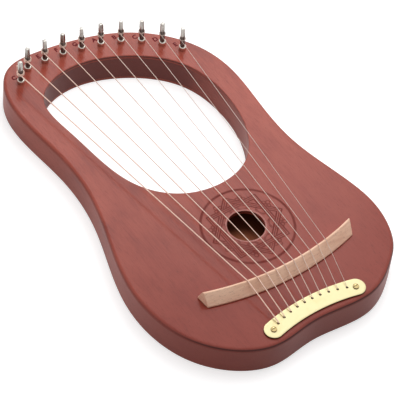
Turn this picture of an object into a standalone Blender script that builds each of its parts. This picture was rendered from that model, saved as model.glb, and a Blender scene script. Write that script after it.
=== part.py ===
"""Ten-string lyre harp, lying on its back.

X runs to the treble side, Y towards the head and Z out of the playing face. The instrument
rests on Z = 0. Plan shapes are drawn from the middle of the sound hole and then moved so that
the origin is the middle of the body's outline.
"""
import math

import bmesh
import bpy
import numpy as np
from mathutils import Matrix, Vector

for old in list(bpy.data.objects):
    bpy.data.objects.remove(old, do_unlink=True)

# Body: lengths along Y, from the tail to the head
TAIL_TO_HOLE = 0.1214
HOLE_TO_WINDOW = 0.054
WINDOW_LENGTH = 0.192
HEAD_RIM = 0.0352
TAIL_NOTCH = 0.004

# Body: widths along X
BOUT_BASS = 0.1298
BOUT_TREBLE = 0.1158
TAIL_FOOT_BASS = 0.0595
TAIL_FOOT_TREBLE = 0.0510
WINDOW_WIDTH = 0.154
WINDOW_BASS = 0.078
ARM_BASS = 0.0209
ARM_TREBLE = 0.0219

# Body: thicknesses along Z, and rounded edges
FRAME_THICKNESS = 0.025
TOP_THICKNESS = 0.004
BACK_THICKNESS = 0.003
FACE_EDGE = 0.0028
BACK_EDGE = 0.0020
WINDOW_EDGE = 0.0008

# Sound chamber, sound hole and the two bars under the top
SIDE_WALL = 0.0185
SILL_WALL = 0.014
TAIL_BLOCK = 0.040
CHAMBER_SQUARENESS = 2.8
SOUND_HOLE_RADIUS = 0.0174
SOUND_HOLE_X = -0.0011
SOUND_HOLE_Y = 0.0010
BAR_WIDTH = 0.007
BAR_HEIGHT = 0.008
BAR_TO_HOLE = 0.019

# Tuning pins and their collars
STRING_COUNT = 10
PIN_INSET_BASS = 0.0166
PIN_INSET_TREBLE = 0.0124
PIN_FIRST_RISE = 0.0074
PIN_PITCH = 0.0193
PIN_RADIUS = 0.0023
PIN_GRIP = 0.018
PIN_SHAFT_RISE = 0.0168
PIN_HEAD_LENGTH = 0.0095
PIN_HEAD_WIDTH = 0.0040
PIN_HEAD_TAPER = 0.0004
PIN_TIP = 0.0008
PIN_LEAN = math.radians(4.5)
PIN_TURN_STEP = math.radians(37.0)
STRING_AT_PIN = 0.0144
COLLAR_RADIUS = 0.0035
COLLAR_HEIGHT = 0.0042
COLLAR_EDGE = 0.0003

# Strings, the turns on the pins, and how far each bend of a string spreads
STRING_RADIUS_BASS = 0.00055
STRING_RADIUS_TREBLE = 0.00022
WINDING_TURNS = 2.5
WINDING_GAP = 0.00050
STRING_BEND = 0.0010
BEND_STEPS = 4

# Bridge
BRIDGE_X = -0.0035
BRIDGE_TO_HOLE = 0.0604
BRIDGE_HALF_LENGTH = 0.082
BRIDGE_ARC = 0.272
BRIDGE_HEIGHT = 0.011
BRIDGE_STEP = 0.0015
BRIDGE_RIDGE = 0.0016
BRIDGE_FRONT = 0.0095
BRIDGE_BACK = 0.0046
BRIDGE_END_SLOPE = 0.0015
BRIDGE_TREBLE_CUT = 0.0043
BRIDGE_BASS_CUT = 0.0013
BRIDGE_STRING_X = 0.0004
BRIDGE_STRING_SPACING = 0.00965
NOTCH_DEPTH = 0.0005
BRIDGE_SPANS = 16

# Tailpiece, its screws, and the string holes down to the ball ends
TAILPIECE_X = -0.0047
TAILPIECE_TO_TAIL = 0.0189
TAILPIECE_HALF_LENGTH = 0.0539
TAILPIECE_WIDTH = 0.0178
TAILPIECE_ARC = 0.190
TAILPIECE_THICKNESS = 0.0016
TAIL_HOLE_SPACING = 0.00836
TAIL_HOLE_ARC = 0.108
TAIL_HOLE_TO_EDGE = 0.0042
TAIL_HOLE_RADIUS = 0.0010
STRING_BORE_RADIUS = 0.0012
BALL_BORE_RADIUS = 0.0027
BALL_BORE_DEPTH = 0.0062
BALL_RADIUS = 0.0022
BALL_LENGTH = 0.0040
BALL_SOCKET = 0.0022
SCREW_HEAD_RADIUS = 0.0029
SCREW_HEAD_HEIGHT = 0.0016
SCREW_SHANK_RADIUS = 0.0013
SCREW_LENGTH = 0.012
SCREW_SLOT = 0.0007
SCREW_SLOT_DEPTH = 0.0009
SCREW_TIP_RADIUS = 0.0006

# Clearance between pieces that touch or turn in each other
FIT = 0.0003

# Points round each kind of curve
BODY_POINTS = 100
WINDOW_POINTS = 66
CHAMBER_POINTS = 40
HOLE_POINTS = 36
ROUND_POINTS = 16
SMALL_POINTS = 10
TURN_POINTS = 12
EDGE_STEPS = 3
PLATE_ARC_STEPS = 14
PLATE_END_STEPS = 8

TAIL_Y = -TAIL_TO_HOLE
SILL_Y = HOLE_TO_WINDOW
LINTEL_Y = SILL_Y + WINDOW_LENGTH
CROWN_Y = LINTEL_Y + HEAD_RIM
WINDOW_TREBLE = WINDOW_WIDTH - WINDOW_BASS
FACE_Z = BACK_THICKNESS + FRAME_THICKNESS + TOP_THICKNESS
UNDER_TOP_Z = FACE_Z - TOP_THICKNESS

# The window's shape, as shares of its own width and length, clockwise from the bass side
WINDOW_SHAPE = [
    (0.020, 0.635), (0.022, 0.885), (0.244, 0.996), (0.578, 0.958), (0.893, 0.770),
    (0.997, 0.523), (0.952, 0.238), (0.751, 0.038), (0.405, 0.018), (0.165, 0.155), (0.065, 0.357),
]


def closed_spline(stations, count):
    """A smooth closed curve through the stations: a periodic cubic whose parameter grows with
    the square root of each chord, read at even steps of that parameter."""
    points = np.array(stations)
    chords = np.linalg.norm(np.roll(points, -1, axis=0) - points, axis=1)
    steps = np.sqrt(chords)
    n = len(points)
    system = np.zeros((n, n))
    right = np.zeros((n, 2))
    for i in range(n):
        before = steps[i - 1]
        after = steps[i]
        system[i, i - 1] += before
        system[i, i] += 2.0 * (before + after)
        system[i, (i + 1) % n] += after
        rise = (points[(i + 1) % n] - points[i]) / after
        fall = (points[i] - points[i - 1]) / before
        right[i] = 6.0 * (rise - fall)
    bend = np.linalg.solve(system, right)
    knots = np.concatenate([[0.0], np.cumsum(steps)])
    places = np.linspace(0.0, knots[-1], count, endpoint=False)
    span = np.minimum(np.searchsorted(knots, places, side="right") - 1, n - 1)
    ahead = (span + 1) % n
    step = steps[span][:, None]
    t = (places - knots[span])[:, None]
    s = step - t
    start = points[span]
    end = points[ahead]
    curve = bend[span] * s ** 3 / (6.0 * step) + bend[ahead] * t ** 3 / (6.0 * step)
    curve += (start / step - bend[span] * step / 6.0) * s
    curve += (end / step - bend[ahead] * step / 6.0) * t
    return curve


def inset(outline, distance):
    """The outline moved in along its own normals. A negative distance moves it out."""
    along = np.roll(outline, -1, axis=0) - np.roll(outline, 1, axis=0)
    normal = np.stack([along[:, 1], -along[:, 0]], axis=1)
    normal /= np.linalg.norm(normal, axis=1)[:, None]
    x, y = outline[:, 0], outline[:, 1]
    area = np.sum(x * np.roll(y, -1) - np.roll(x, -1) * y)
    inward = -1.0 if area > 0 else 1.0
    return outline + normal * (inward * distance)


def body_stations():
    """The outline's stations, clockwise from the notch at the tail, as shares of the named
    sizes. The tail follows the bout, the arms follow the window's sides, and the head
    follows the crown."""
    bass = -WINDOW_BASS - ARM_BASS
    treble = WINDOW_TREBLE + ARM_TREBLE
    return [
        (-0.16 * TAIL_FOOT_BASS, TAIL_Y + TAIL_NOTCH),
        (-TAIL_FOOT_BASS, TAIL_Y + 0.12 * TAIL_NOTCH),
        (-0.873 * BOUT_BASS, 0.679 * TAIL_Y),
        (-BOUT_BASS, 0.02 * TAIL_Y),
        (1.081 * bass, 1.5 * SILL_Y),
        (bass, SILL_Y + 0.529 * WINDOW_LENGTH),
        (1.05 * bass, SILL_Y + 0.945 * WINDOW_LENGTH),
        (0.848 * bass, CROWN_Y - 0.17 * HEAD_RIM),
        (0.469 * bass, CROWN_Y),
        (0.29 * treble, CROWN_Y - 0.455 * HEAD_RIM),
        (0.801 * treble, SILL_Y + 0.902 * WINDOW_LENGTH),
        (treble, SILL_Y + 0.693 * WINDOW_LENGTH),
        (1.026 * treble, SILL_Y + 0.458 * WINDOW_LENGTH),
        (treble, SILL_Y + 0.036 * WINDOW_LENGTH),
        (BOUT_TREBLE, 0.26 * TAIL_Y),
        (0.896 * BOUT_TREBLE, 0.67 * TAIL_Y),
        (0.754 * BOUT_TREBLE, 0.815 * TAIL_Y),
        (TAIL_FOOT_TREBLE, TAIL_Y + 0.62 * TAIL_NOTCH),
    ]


def window_stations():
    """The window's stations, laid out in its own width and length."""
    return [(share_x * WINDOW_WIDTH - WINDOW_BASS, SILL_Y + share_y * WINDOW_LENGTH)
            for share_x, share_y in WINDOW_SHAPE]


def superellipse(middle, half_x, half_y, power, count):
    """A ring whose corners fill out as the power grows from 2, an ellipse, to a rectangle."""
    angle = np.linspace(0.0, 2.0 * math.pi, count, endpoint=False)
    cos, sin = np.cos(angle), np.sin(angle)
    x = np.sign(cos) * np.abs(cos) ** (2.0 / power) * half_x
    y = np.sign(sin) * np.abs(sin) ** (2.0 / power) * half_y
    return np.stack([x, y], axis=1) + np.array(middle)


RAW_OUTLINE = closed_spline(body_stations(), BODY_POINTS)
MIDDLE = (RAW_OUTLINE.min(axis=0) + RAW_OUTLINE.max(axis=0)) / 2.0
BODY_OUTLINE = RAW_OUTLINE - MIDDLE
WINDOW_OUTLINE = closed_spline(window_stations(), WINDOW_POINTS) - MIDDLE
HOLE_MIDDLE = np.array([SOUND_HOLE_X, SOUND_HOLE_Y]) - MIDDLE


def material(name, piece_finish):
    """A plain Principled material of the piece's own."""
    color, roughness, metallic = piece_finish
    made = bpy.data.materials.new(name)
    made.use_nodes = True
    shader = made.node_tree.nodes["Principled BSDF"]
    shader.inputs["Base Color"].default_value = (*color, 1.0)
    shader.inputs["Roughness"].default_value = roughness
    shader.inputs["Metallic"].default_value = metallic
    made.diffuse_color = (*color, 1.0)
    return made


# Finishes: linear colour, roughness and metallic
MAHOGANY = ((0.33, 0.11, 0.09), 0.45, 0.0)
MAPLE = ((0.60, 0.45, 0.32), 0.60, 0.0)
SPRUCE = ((0.70, 0.55, 0.38), 0.70, 0.0)
BRASS = ((0.90, 0.78, 0.45), 0.25, 1.0)
NICKEL = ((0.72, 0.71, 0.68), 0.20, 1.0)
BRONZE = ((0.75, 0.48, 0.36), 0.30, 1.0)


def ring_at(outline, height):
    """A flat outline lifted to one height."""
    return np.column_stack([outline, np.full(len(outline), height)])


def loft(mesh, rings, ring_shaped=False):
    """Add one closed body to the mesh: bands of faces between rings of equal count, closed by
    a face at each end, or run round to the first ring where the body is ring-shaped."""
    rows = [[mesh.verts.new(point) for point in ring] for ring in rings]
    pairs = list(zip(rows, rows[1:]))
    if ring_shaped:
        pairs.append((rows[-1], rows[0]))
    faces = []
    for low, high in pairs:
        for i in range(len(low)):
            after = (i + 1) % len(low)
            faces.append(mesh.faces.new([low[i], low[after], high[after], high[i]]))
    if not ring_shaped:
        faces.append(mesh.faces.new(list(reversed(rows[0]))))
        faces.append(mesh.faces.new(rows[-1]))
    bmesh.ops.recalc_face_normals(mesh, faces=faces)
    return faces


def finish(mesh, name, piece_finish, smooth_angle=None):
    """Turn a mesh in hand into a named object with its own material."""
    data = bpy.data.meshes.new(name)
    mesh.to_mesh(data)
    mesh.free()
    if piece_finish:
        data.materials.append(material(name, piece_finish))
    if smooth_angle:
        data.shade_smooth()
        data.set_sharp_from_angle(angle=smooth_angle)
    made = bpy.data.objects.new(name, data)
    bpy.context.scene.collection.objects.link(made)
    return made


def cut(target, name, tool_mesh):
    """Take the tool away from the target, and hide the tool."""
    tool = finish(tool_mesh, name, None)
    tool.hide_render = True
    tool.display_type = "WIRE"
    boolean = target.modifiers.new(name, "BOOLEAN")
    boolean.operation = "DIFFERENCE"
    boolean.solver = "EXACT"
    boolean.object = tool


def circle(middle, radius, height, count):
    """A level ring of points."""
    return ring_at(superellipse(middle, radius, radius, 2.0, count), height)


def add_rod(mesh, start, end, radius, count):
    """A straight round rod between two points."""
    start, end = Vector(start), Vector(end)
    turn = (end - start).to_track_quat("Z", "Y").to_matrix()
    flat = circle((0.0, 0.0), radius, 0.0, count)
    rings = [[middle + turn @ Vector(point) for point in flat] for middle in (start, end)]
    loft(mesh, rings)


def add_stepped_bore(mesh, middle, sizes, count):
    """An upright bore whose radius steps at given heights: pairs of height and radius."""
    loft(mesh, [circle(middle, radius, height, count) for height, radius in sizes])


def rounded_prism(mesh, outline, low, high, low_edge, high_edge):
    """A prism whose lower and upper rims are quarter rounds. A zero edge stays square."""
    rings = []
    if low_edge:
        for k in range(EDGE_STEPS):
            turn = math.pi / 2.0 * k / EDGE_STEPS
            back = low_edge * (1.0 - math.sin(turn))
            rings.append(ring_at(inset(outline, back), low + low_edge * (1.0 - math.cos(turn))))
    rings.append(ring_at(outline, low + low_edge))
    rings.append(ring_at(outline, high - high_edge))
    if high_edge:
        for k in range(1, EDGE_STEPS + 1):
            turn = math.pi / 2.0 * k / EDGE_STEPS
            back = high_edge * (1.0 - math.cos(turn))
            rings.append(ring_at(inset(outline, back), high - high_edge * (1.0 - math.sin(turn))))
    loft(mesh, rings)


def window_tool(mesh, low, high, low_edge, high_edge):
    """The window's cutter, flared at the faces that have a softened rim."""
    margin = WINDOW_EDGE + FIT
    rings = [ring_at(inset(WINDOW_OUTLINE, -low_edge), low - margin)]
    if low_edge:
        rings.append(ring_at(inset(WINDOW_OUTLINE, -low_edge), low))
        rings.append(ring_at(WINDOW_OUTLINE, low + low_edge))
    if high_edge:
        rings.append(ring_at(WINDOW_OUTLINE, high - high_edge))
        rings.append(ring_at(inset(WINDOW_OUTLINE, -high_edge), high))
    rings.append(ring_at(inset(WINDOW_OUTLINE, -high_edge), high + margin))
    loft(mesh, rings)


def pin_places():
    """Where each pin's axis meets the face: even steps along the head's outline, moved in,
    from the height of the first pin above the window. The row nears the rim to the treble."""
    fine = closed_spline(body_stations(), BODY_POINTS * 8)
    line = inset(fine, PIN_INSET_BASS)
    first = np.argmax(line[:, 1] >= LINTEL_Y + PIN_FIRST_RISE)
    line = np.roll(line, -first, axis=0)
    rim = np.roll(inset(fine, PIN_INSET_TREBLE), -first, axis=0)
    travelled = np.concatenate([[0.0], np.cumsum(np.linalg.norm(np.diff(line, axis=0), axis=1))])
    places = []
    for index in range(STRING_COUNT):
        share = index / (STRING_COUNT - 1)
        row = line + (rim - line) * share
        place = [np.interp(PIN_PITCH * index, travelled, row[:, axis]) for axis in (0, 1)]
        places.append(np.array(place) - MIDDLE)
    return places


def arc_y(x, middle_x, radius):
    """How far an arc of this radius has moved off its middle at x."""
    return radius - math.sqrt(radius ** 2 - (x - middle_x) ** 2)


def ridge_place(x):
    """A point of the bridge's ridge line in plan. Its middle bows towards the tail."""
    y = -BRIDGE_TO_HOLE + arc_y(x, BRIDGE_X, BRIDGE_ARC)
    return np.array([x, y]) - MIDDLE


def bridge_string_x(index):
    """Where a string crosses the bridge."""
    return BRIDGE_STRING_X + (index - (STRING_COUNT - 1) / 2.0) * BRIDGE_STRING_SPACING


TAILPIECE_Y = TAIL_Y + TAILPIECE_TO_TAIL
TAILPIECE_TOP_Z = FACE_Z + FIT + TAILPIECE_THICKNESS


def tailpiece_line(x):
    """The tailpiece's centre line in plan. Its ends drop towards the tail."""
    return np.array([x, TAILPIECE_Y - arc_y(x, TAILPIECE_X, TAILPIECE_ARC)]) - MIDDLE


def tail_hole(index):
    """A string's hole in the tailpiece, on an arc just below the plate's upper edge."""
    x = TAILPIECE_X + (index - (STRING_COUNT - 1) / 2.0) * TAIL_HOLE_SPACING
    top = TAILPIECE_Y + TAILPIECE_WIDTH / 2.0 - TAIL_HOLE_TO_EDGE
    return np.array([x, top - arc_y(x, TAILPIECE_X, TAIL_HOLE_ARC)]) - MIDDLE


def screw_places():
    """The two screws stand in the middle of the tailpiece's round ends."""
    reach = TAILPIECE_HALF_LENGTH - TAILPIECE_WIDTH / 2.0
    return [tailpiece_line(TAILPIECE_X + side * reach) for side in (-1.0, 1.0)]


def string_radius(index):
    """Strings thin out evenly from the bass side to the treble side."""
    share = index / (STRING_COUNT - 1)
    return STRING_RADIUS_BASS + share * (STRING_RADIUS_TREBLE - STRING_RADIUS_BASS)


PINS = pin_places()
PIN_AXIS = Vector((0.0, math.sin(PIN_LEAN), math.cos(PIN_LEAN)))
PIN_TURN = Matrix.Rotation(-PIN_LEAN, 4, "X")


def pin_point(index, rise):
    """A point on a pin's axis, this far up from the face."""
    foot = Vector((PINS[index][0], PINS[index][1], FACE_Z))
    return foot + PIN_AXIS * rise


def add_pin_holes(mesh):
    """The pins' holes lean with the pins and end just past their tips."""
    for index in range(STRING_COUNT):
        low = pin_point(index, -PIN_GRIP - FIT)
        high = pin_point(index, COLLAR_HEIGHT)
        add_rod(mesh, low, high, PIN_RADIUS + FIT, SMALL_POINTS)


def add_string_bores(mesh, high):
    """Each string's way through the body, widened at the back for its ball end."""
    for index in range(STRING_COUNT):
        sizes = [(-FIT, BALL_BORE_RADIUS), (BALL_BORE_DEPTH, BALL_BORE_RADIUS),
                 (BALL_BORE_DEPTH, STRING_BORE_RADIUS), (high, STRING_BORE_RADIUS)]
        add_stepped_bore(mesh, tail_hole(index), sizes, SMALL_POINTS)


def add_screw_holes(mesh, low, high):
    """The tailpiece screws' holes."""
    for place in screw_places():
        add_stepped_bore(mesh, place, [(low, SCREW_SHANK_RADIUS + FIT),
                                       (high, SCREW_SHANK_RADIUS + FIT)], SMALL_POINTS)


def chamber_outline():
    """The sound chamber between the side walls, the window's sill and the tail block."""
    middle_x = (BOUT_TREBLE - BOUT_BASS) / 2.0
    half_x = (BOUT_TREBLE + BOUT_BASS) / 2.0 - SIDE_WALL
    low = TAIL_Y + TAIL_BLOCK
    high = SILL_Y - SILL_WALL
    middle = (middle_x - MIDDLE[0], (low + high) / 2.0 - MIDDLE[1])
    return superellipse(middle, half_x, (high - low) / 2.0, CHAMBER_SQUARENESS, CHAMBER_POINTS)


def make_body_frame():
    """The solid rim: head, two arms, tail block and the walls of the sound chamber."""
    low, high = BACK_THICKNESS + FIT, UNDER_TOP_Z - FIT
    mesh = bmesh.new()
    rounded_prism(mesh, BODY_OUTLINE, low, high, 0.0, 0.0)
    frame = finish(mesh, "body_frame", MAHOGANY, math.radians(30.0))
    tool = bmesh.new()
    window_tool(tool, low, high, 0.0, 0.0)
    rounded_prism(tool, chamber_outline(), low - FIT, high + FIT, 0.0, 0.0)
    add_pin_holes(tool)
    add_string_bores(tool, UNDER_TOP_Z)
    screw_tip = TAILPIECE_TOP_Z - SCREW_LENGTH - FIT
    add_screw_holes(tool, screw_tip, UNDER_TOP_Z)
    cut(frame, "body_frame_cuts", tool)


def make_soundboard():
    """The top board, with the sound hole, the window and the holes for pins and strings."""
    mesh = bmesh.new()
    rounded_prism(mesh, BODY_OUTLINE, UNDER_TOP_Z, FACE_Z, 0.0, FACE_EDGE)
    board = finish(mesh, "soundboard", MAHOGANY, math.radians(40.0))
    tool = bmesh.new()
    window_tool(tool, UNDER_TOP_Z, FACE_Z, 0.0, WINDOW_EDGE)
    over = FACE_Z + FIT
    add_stepped_bore(tool, HOLE_MIDDLE, [(UNDER_TOP_Z - FIT, SOUND_HOLE_RADIUS),
                                         (over, SOUND_HOLE_RADIUS)], HOLE_POINTS)
    add_pin_holes(tool)
    for index in range(STRING_COUNT):
        add_stepped_bore(tool, tail_hole(index), [(UNDER_TOP_Z - FIT, STRING_BORE_RADIUS),
                                                  (over, STRING_BORE_RADIUS)], SMALL_POINTS)
    add_screw_holes(tool, UNDER_TOP_Z - FIT, over)
    cut(board, "soundboard_cuts", tool)


def make_back_board():
    """The back board, whose outer face is the flat that the instrument rests on."""
    mesh = bmesh.new()
    rounded_prism(mesh, BODY_OUTLINE, 0.0, BACK_THICKNESS, BACK_EDGE, 0.0)
    board = finish(mesh, "back_board", MAHOGANY, math.radians(40.0))
    tool = bmesh.new()
    window_tool(tool, 0.0, BACK_THICKNESS, WINDOW_EDGE, 0.0)
    for index in range(STRING_COUNT):
        add_stepped_bore(tool, tail_hole(index), [(-FIT, BALL_BORE_RADIUS),
                                                  (BACK_THICKNESS + FIT, BALL_BORE_RADIUS)],
                         SMALL_POINTS)
    cut(board, "back_board_cuts", tool)


def make_bar(name, middle_y):
    """A bar glued across under the top, from chamber wall to chamber wall."""
    walls = chamber_outline()
    low_y, high_y = middle_y - BAR_WIDTH / 2.0, middle_y + BAR_WIDTH / 2.0
    centre = (walls[:, 0].min() + walls[:, 0].max()) / 2.0
    reach = []
    for side in (-1.0, 1.0):
        half = walls[(walls[:, 0] - centre) * side >= 0.0]
        order = np.argsort(half[:, 1])
        ends = np.interp([low_y, high_y], half[order, 1], half[order, 0])
        reach.append(side * min(side * ends) - side * FIT)
    corners = np.array([(reach[0], low_y), (reach[1], low_y), (reach[1], high_y), (reach[0], high_y)])
    mesh = bmesh.new()
    high = UNDER_TOP_Z - FIT
    loft(mesh, [ring_at(corners, high - BAR_HEIGHT), ring_at(corners, high)])
    finish(mesh, name, SPRUCE)


def bridge_section(x, end):
    """The bridge's cross-section at x: a low step, a sloped face on each side and a narrow
    flat ridge. The end is -1 or 1 at an end of the bridge, where the ridge is drawn in. Both
    ends are sawn at a slant that cuts back the front foot, the treble end the most."""
    foot = FACE_Z + FIT
    half_ridge = BRIDGE_RIDGE / 2.0
    outline = [(-BRIDGE_FRONT, 0.0), (-BRIDGE_FRONT, BRIDGE_STEP), (-half_ridge, BRIDGE_HEIGHT),
               (half_ridge, BRIDGE_HEIGHT), (BRIDGE_BACK, BRIDGE_STEP), (BRIDGE_BACK, 0.0)]
    ring = []
    for across, rise in outline:
        drawn_in = end * BRIDGE_END_SLOPE * rise / BRIDGE_HEIGHT
        slant = max(end, 0) * BRIDGE_TREBLE_CUT + min(end, 0) * BRIDGE_BASS_CUT
        cut_back = slant * max(-across, 0.0) / BRIDGE_FRONT
        place = ridge_place(x - drawn_in - cut_back)
        ring.append((place[0], place[1] + across, foot + rise))
    return ring


def string_over_bridge(index):
    """Where a string bends down at the front of the ridge."""
    radius = string_radius(index)
    place = ridge_place(bridge_string_x(index))
    out = BRIDGE_RIDGE / 2.0 + FIT
    height = FACE_Z + FIT + BRIDGE_HEIGHT - NOTCH_DEPTH + FIT + radius
    return Vector((place[0], place[1] - out, height))


def string_at_pin(index):
    """Where a string meets its winding, and its direction in plan. It runs to the bass side
    of the pin and touches the circle of the first turn there."""
    radius = string_radius(index)
    turn_radius = PIN_RADIUS + FIT + radius
    axis = pin_point(index, STRING_AT_PIN)
    start = string_over_bridge(index)
    run = Vector((axis.x - start.x, axis.y - start.y))
    lean = math.asin(turn_radius / run.length)
    heading = Matrix.Rotation(lean, 2) @ run.normalized()
    reach = math.sqrt(run.length ** 2 - turn_radius ** 2)
    touch = Vector((start.x + heading.x * reach, start.y + heading.y * reach, axis.z))
    return touch, heading, turn_radius


def make_bridge():
    """The bridge: a curved wedge with a shallow notch for each string."""
    half_spans = BRIDGE_SPANS // 2
    rings = []
    for step in range(-half_spans, half_spans + 1):
        end = int(step / half_spans)
        rings.append(bridge_section(BRIDGE_X + BRIDGE_HALF_LENGTH * step / half_spans, end))
    mesh = bmesh.new()
    loft(mesh, rings)
    bridge = finish(mesh, "bridge", MAPLE, math.radians(30.0))
    tool = bmesh.new()
    for index in range(STRING_COUNT):
        bend = string_over_bridge(index)
        heading = string_at_pin(index)[1]
        along = Vector((heading.x, heading.y, 0.0)) * BRIDGE_FRONT
        add_rod(tool, bend - along, bend + along, string_radius(index) + FIT, SMALL_POINTS)
    cut(bridge, "bridge_cuts", tool)


def tailpiece_outline():
    """An arched band with round ends: its upper arc, the treble end, its lower arc and the
    bass end, clockwise."""
    half_width = TAILPIECE_WIDTH / 2.0
    sweep = math.asin((TAILPIECE_HALF_LENGTH - half_width) / TAILPIECE_ARC)
    centre = np.array([TAILPIECE_X, TAILPIECE_Y - TAILPIECE_ARC]) - MIDDLE
    ends = [centre + TAILPIECE_ARC * np.array([math.sin(side), math.cos(side)])
            for side in (-sweep, sweep)]
    arcs = [(centre, TAILPIECE_ARC + half_width, -sweep, sweep, PLATE_ARC_STEPS),
            (ends[1], half_width, sweep, sweep + math.pi, PLATE_END_STEPS),
            (centre, TAILPIECE_ARC - half_width, sweep, -sweep, PLATE_ARC_STEPS),
            (ends[0], half_width, math.pi - sweep, 2.0 * math.pi - sweep, PLATE_END_STEPS)]
    points = []
    for middle, radius, start, stop, steps in arcs:
        for step in range(steps):
            turn = start + (stop - start) * step / steps
            points.append(middle + radius * np.array([math.sin(turn), math.cos(turn)]))
    return np.array(points)


def make_tailpiece():
    """The metal plate that guides the strings into their holes."""
    low = FACE_Z + FIT
    edge = TAILPIECE_THICKNESS / 4.0
    outline = tailpiece_outline()
    mesh = bmesh.new()
    loft(mesh, [ring_at(outline, low), ring_at(outline, TAILPIECE_TOP_Z - edge),
                ring_at(inset(outline, edge), TAILPIECE_TOP_Z)])
    plate = finish(mesh, "tailpiece", BRASS, math.radians(30.0))
    tool = bmesh.new()
    over = TAILPIECE_TOP_Z + FIT
    for index in range(STRING_COUNT):
        add_stepped_bore(tool, tail_hole(index), [(low - FIT, TAIL_HOLE_RADIUS),
                                                  (over, TAIL_HOLE_RADIUS)], SMALL_POINTS)
    add_screw_holes(tool, low - FIT, over)
    cut(plate, "tailpiece_cuts", tool)


def make_screw(name, place):
    """A slotted round-head screw that holds the tailpiece down."""
    seat = TAILPIECE_TOP_Z + FIT
    tip = TAILPIECE_TOP_Z - SCREW_LENGTH
    sizes = [(tip, SCREW_TIP_RADIUS), (tip + SCREW_SHANK_RADIUS, SCREW_SHANK_RADIUS),
             (seat, SCREW_SHANK_RADIUS), (seat, SCREW_HEAD_RADIUS)]
    for step in range(1, EDGE_STEPS + 1):
        turn = math.pi / 2.0 * step / (EDGE_STEPS + 1)
        sizes.append((seat + SCREW_HEAD_HEIGHT * math.sin(turn), SCREW_HEAD_RADIUS * math.cos(turn)))
    mesh = bmesh.new()
    loft(mesh, [circle(place, radius, height, ROUND_POINTS) for height, radius in sizes])
    screw = finish(mesh, name, BRASS, math.radians(35.0))
    tool = bmesh.new()
    half_slot = SCREW_SLOT / 2.0
    over = SCREW_HEAD_RADIUS + FIT
    corners = np.array([(-over, -half_slot), (over, -half_slot), (over, half_slot), (-over, half_slot)])
    low = seat + SCREW_HEAD_HEIGHT - SCREW_SLOT_DEPTH
    loft(tool, [ring_at(corners + place, low), ring_at(corners + place, seat + SCREW_HEAD_HEIGHT + FIT)])
    cut(screw, name + "_slot", tool)


def pin_mesh():
    """One tuning pin, upright on its own axis with the face at zero: a bevelled tip, a round
    shaft, and a square head that tapers a little to its top."""
    half_head = PIN_HEAD_WIDTH / 2.0
    half_top = half_head - PIN_HEAD_TAPER / 2.0
    top = PIN_SHAFT_RISE + PIN_HEAD_LENGTH
    rows = [(-PIN_GRIP, PIN_RADIUS - PIN_TIP, 2.0), (-PIN_GRIP + PIN_TIP, PIN_RADIUS, 2.0),
            (PIN_SHAFT_RISE, PIN_RADIUS, 2.0), (PIN_SHAFT_RISE + PIN_TIP, half_head, 7.0),
            (top - PIN_TIP / 2.0, half_top, 7.0), (top, half_top - PIN_TIP / 2.0, 7.0)]
    mesh = bmesh.new()
    loft(mesh, [ring_at(superellipse((0.0, 0.0), half, half, power, ROUND_POINTS), height)
                for height, half, power in rows])
    data = bpy.data.meshes.new("tuning_pin")
    mesh.to_mesh(data)
    mesh.free()
    data.materials.append(material("tuning_pin", NICKEL))
    data.shade_smooth()
    data.set_sharp_from_angle(angle=math.radians(30.0))
    return data


def make_pins():
    """Ten pins that share one mesh, each with its origin where its axis meets the face."""
    data = pin_mesh()
    for index in range(STRING_COUNT):
        pin = bpy.data.objects.new(f"tuning_pin_{index + 1:02d}", data)
        bpy.context.scene.collection.objects.link(pin)
        turned = Matrix.Rotation(PIN_TURN_STEP * index, 4, "Z")
        pin.matrix_world = Matrix.Translation(pin_point(index, 0.0)) @ PIN_TURN @ turned


def make_collar(index):
    """A turned collar round a pin's foot, flat on the face. Its bore leans with the pin."""
    bore = PIN_RADIUS + FIT
    low = FACE_Z + FIT
    high = low + COLLAR_HEIGHT
    middle = PINS[index]
    low_bore, high_bore = [middle + np.array([0.0, (height - FACE_Z) * math.tan(PIN_LEAN)])
                           for height in (low, high)]
    rings = [(low_bore, bore, low), (middle, COLLAR_RADIUS, low),
             (middle, COLLAR_RADIUS, high - COLLAR_EDGE),
             (middle, COLLAR_RADIUS - COLLAR_EDGE, high), (high_bore, bore, high)]
    mesh = bmesh.new()
    loft(mesh, [circle(*ring, ROUND_POINTS) for ring in rings], True)
    finish(mesh, f"pin_collar_{index + 1:02d}", NICKEL, math.radians(50.0))


def make_tube(name, points, radius, piece_finish):
    """A round wire along a row of points, closed at both ends."""
    curve = bpy.data.curves.new(name, "CURVE")
    curve.dimensions = "3D"
    curve.bevel_depth = radius
    curve.bevel_resolution = 1
    curve.use_fill_caps = True
    spline = curve.splines.new("POLY")
    spline.points.add(len(points) - 1)
    for target, point in zip(spline.points, points):
        target.co = (*point, 1.0)
    curve.materials.append(material(name, piece_finish))
    made = bpy.data.objects.new(name, curve)
    bpy.context.scene.collection.objects.link(made)
    return made


def lead_length(index):
    """How far the winding's straight lead reaches from its first turn, so that the string's
    end stands clear of the turns when the pin is turned."""
    radius = string_radius(index)
    turn_radius = PIN_RADIUS + FIT + radius
    clear = turn_radius + 2.0 * radius + FIT
    return math.sqrt(clear ** 2 - turn_radius ** 2)


def string_slope(index):
    """The unit direction of a string from the bridge to its pin."""
    touch = string_at_pin(index)[0]
    return (touch - string_over_bridge(index)).normalized()


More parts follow.
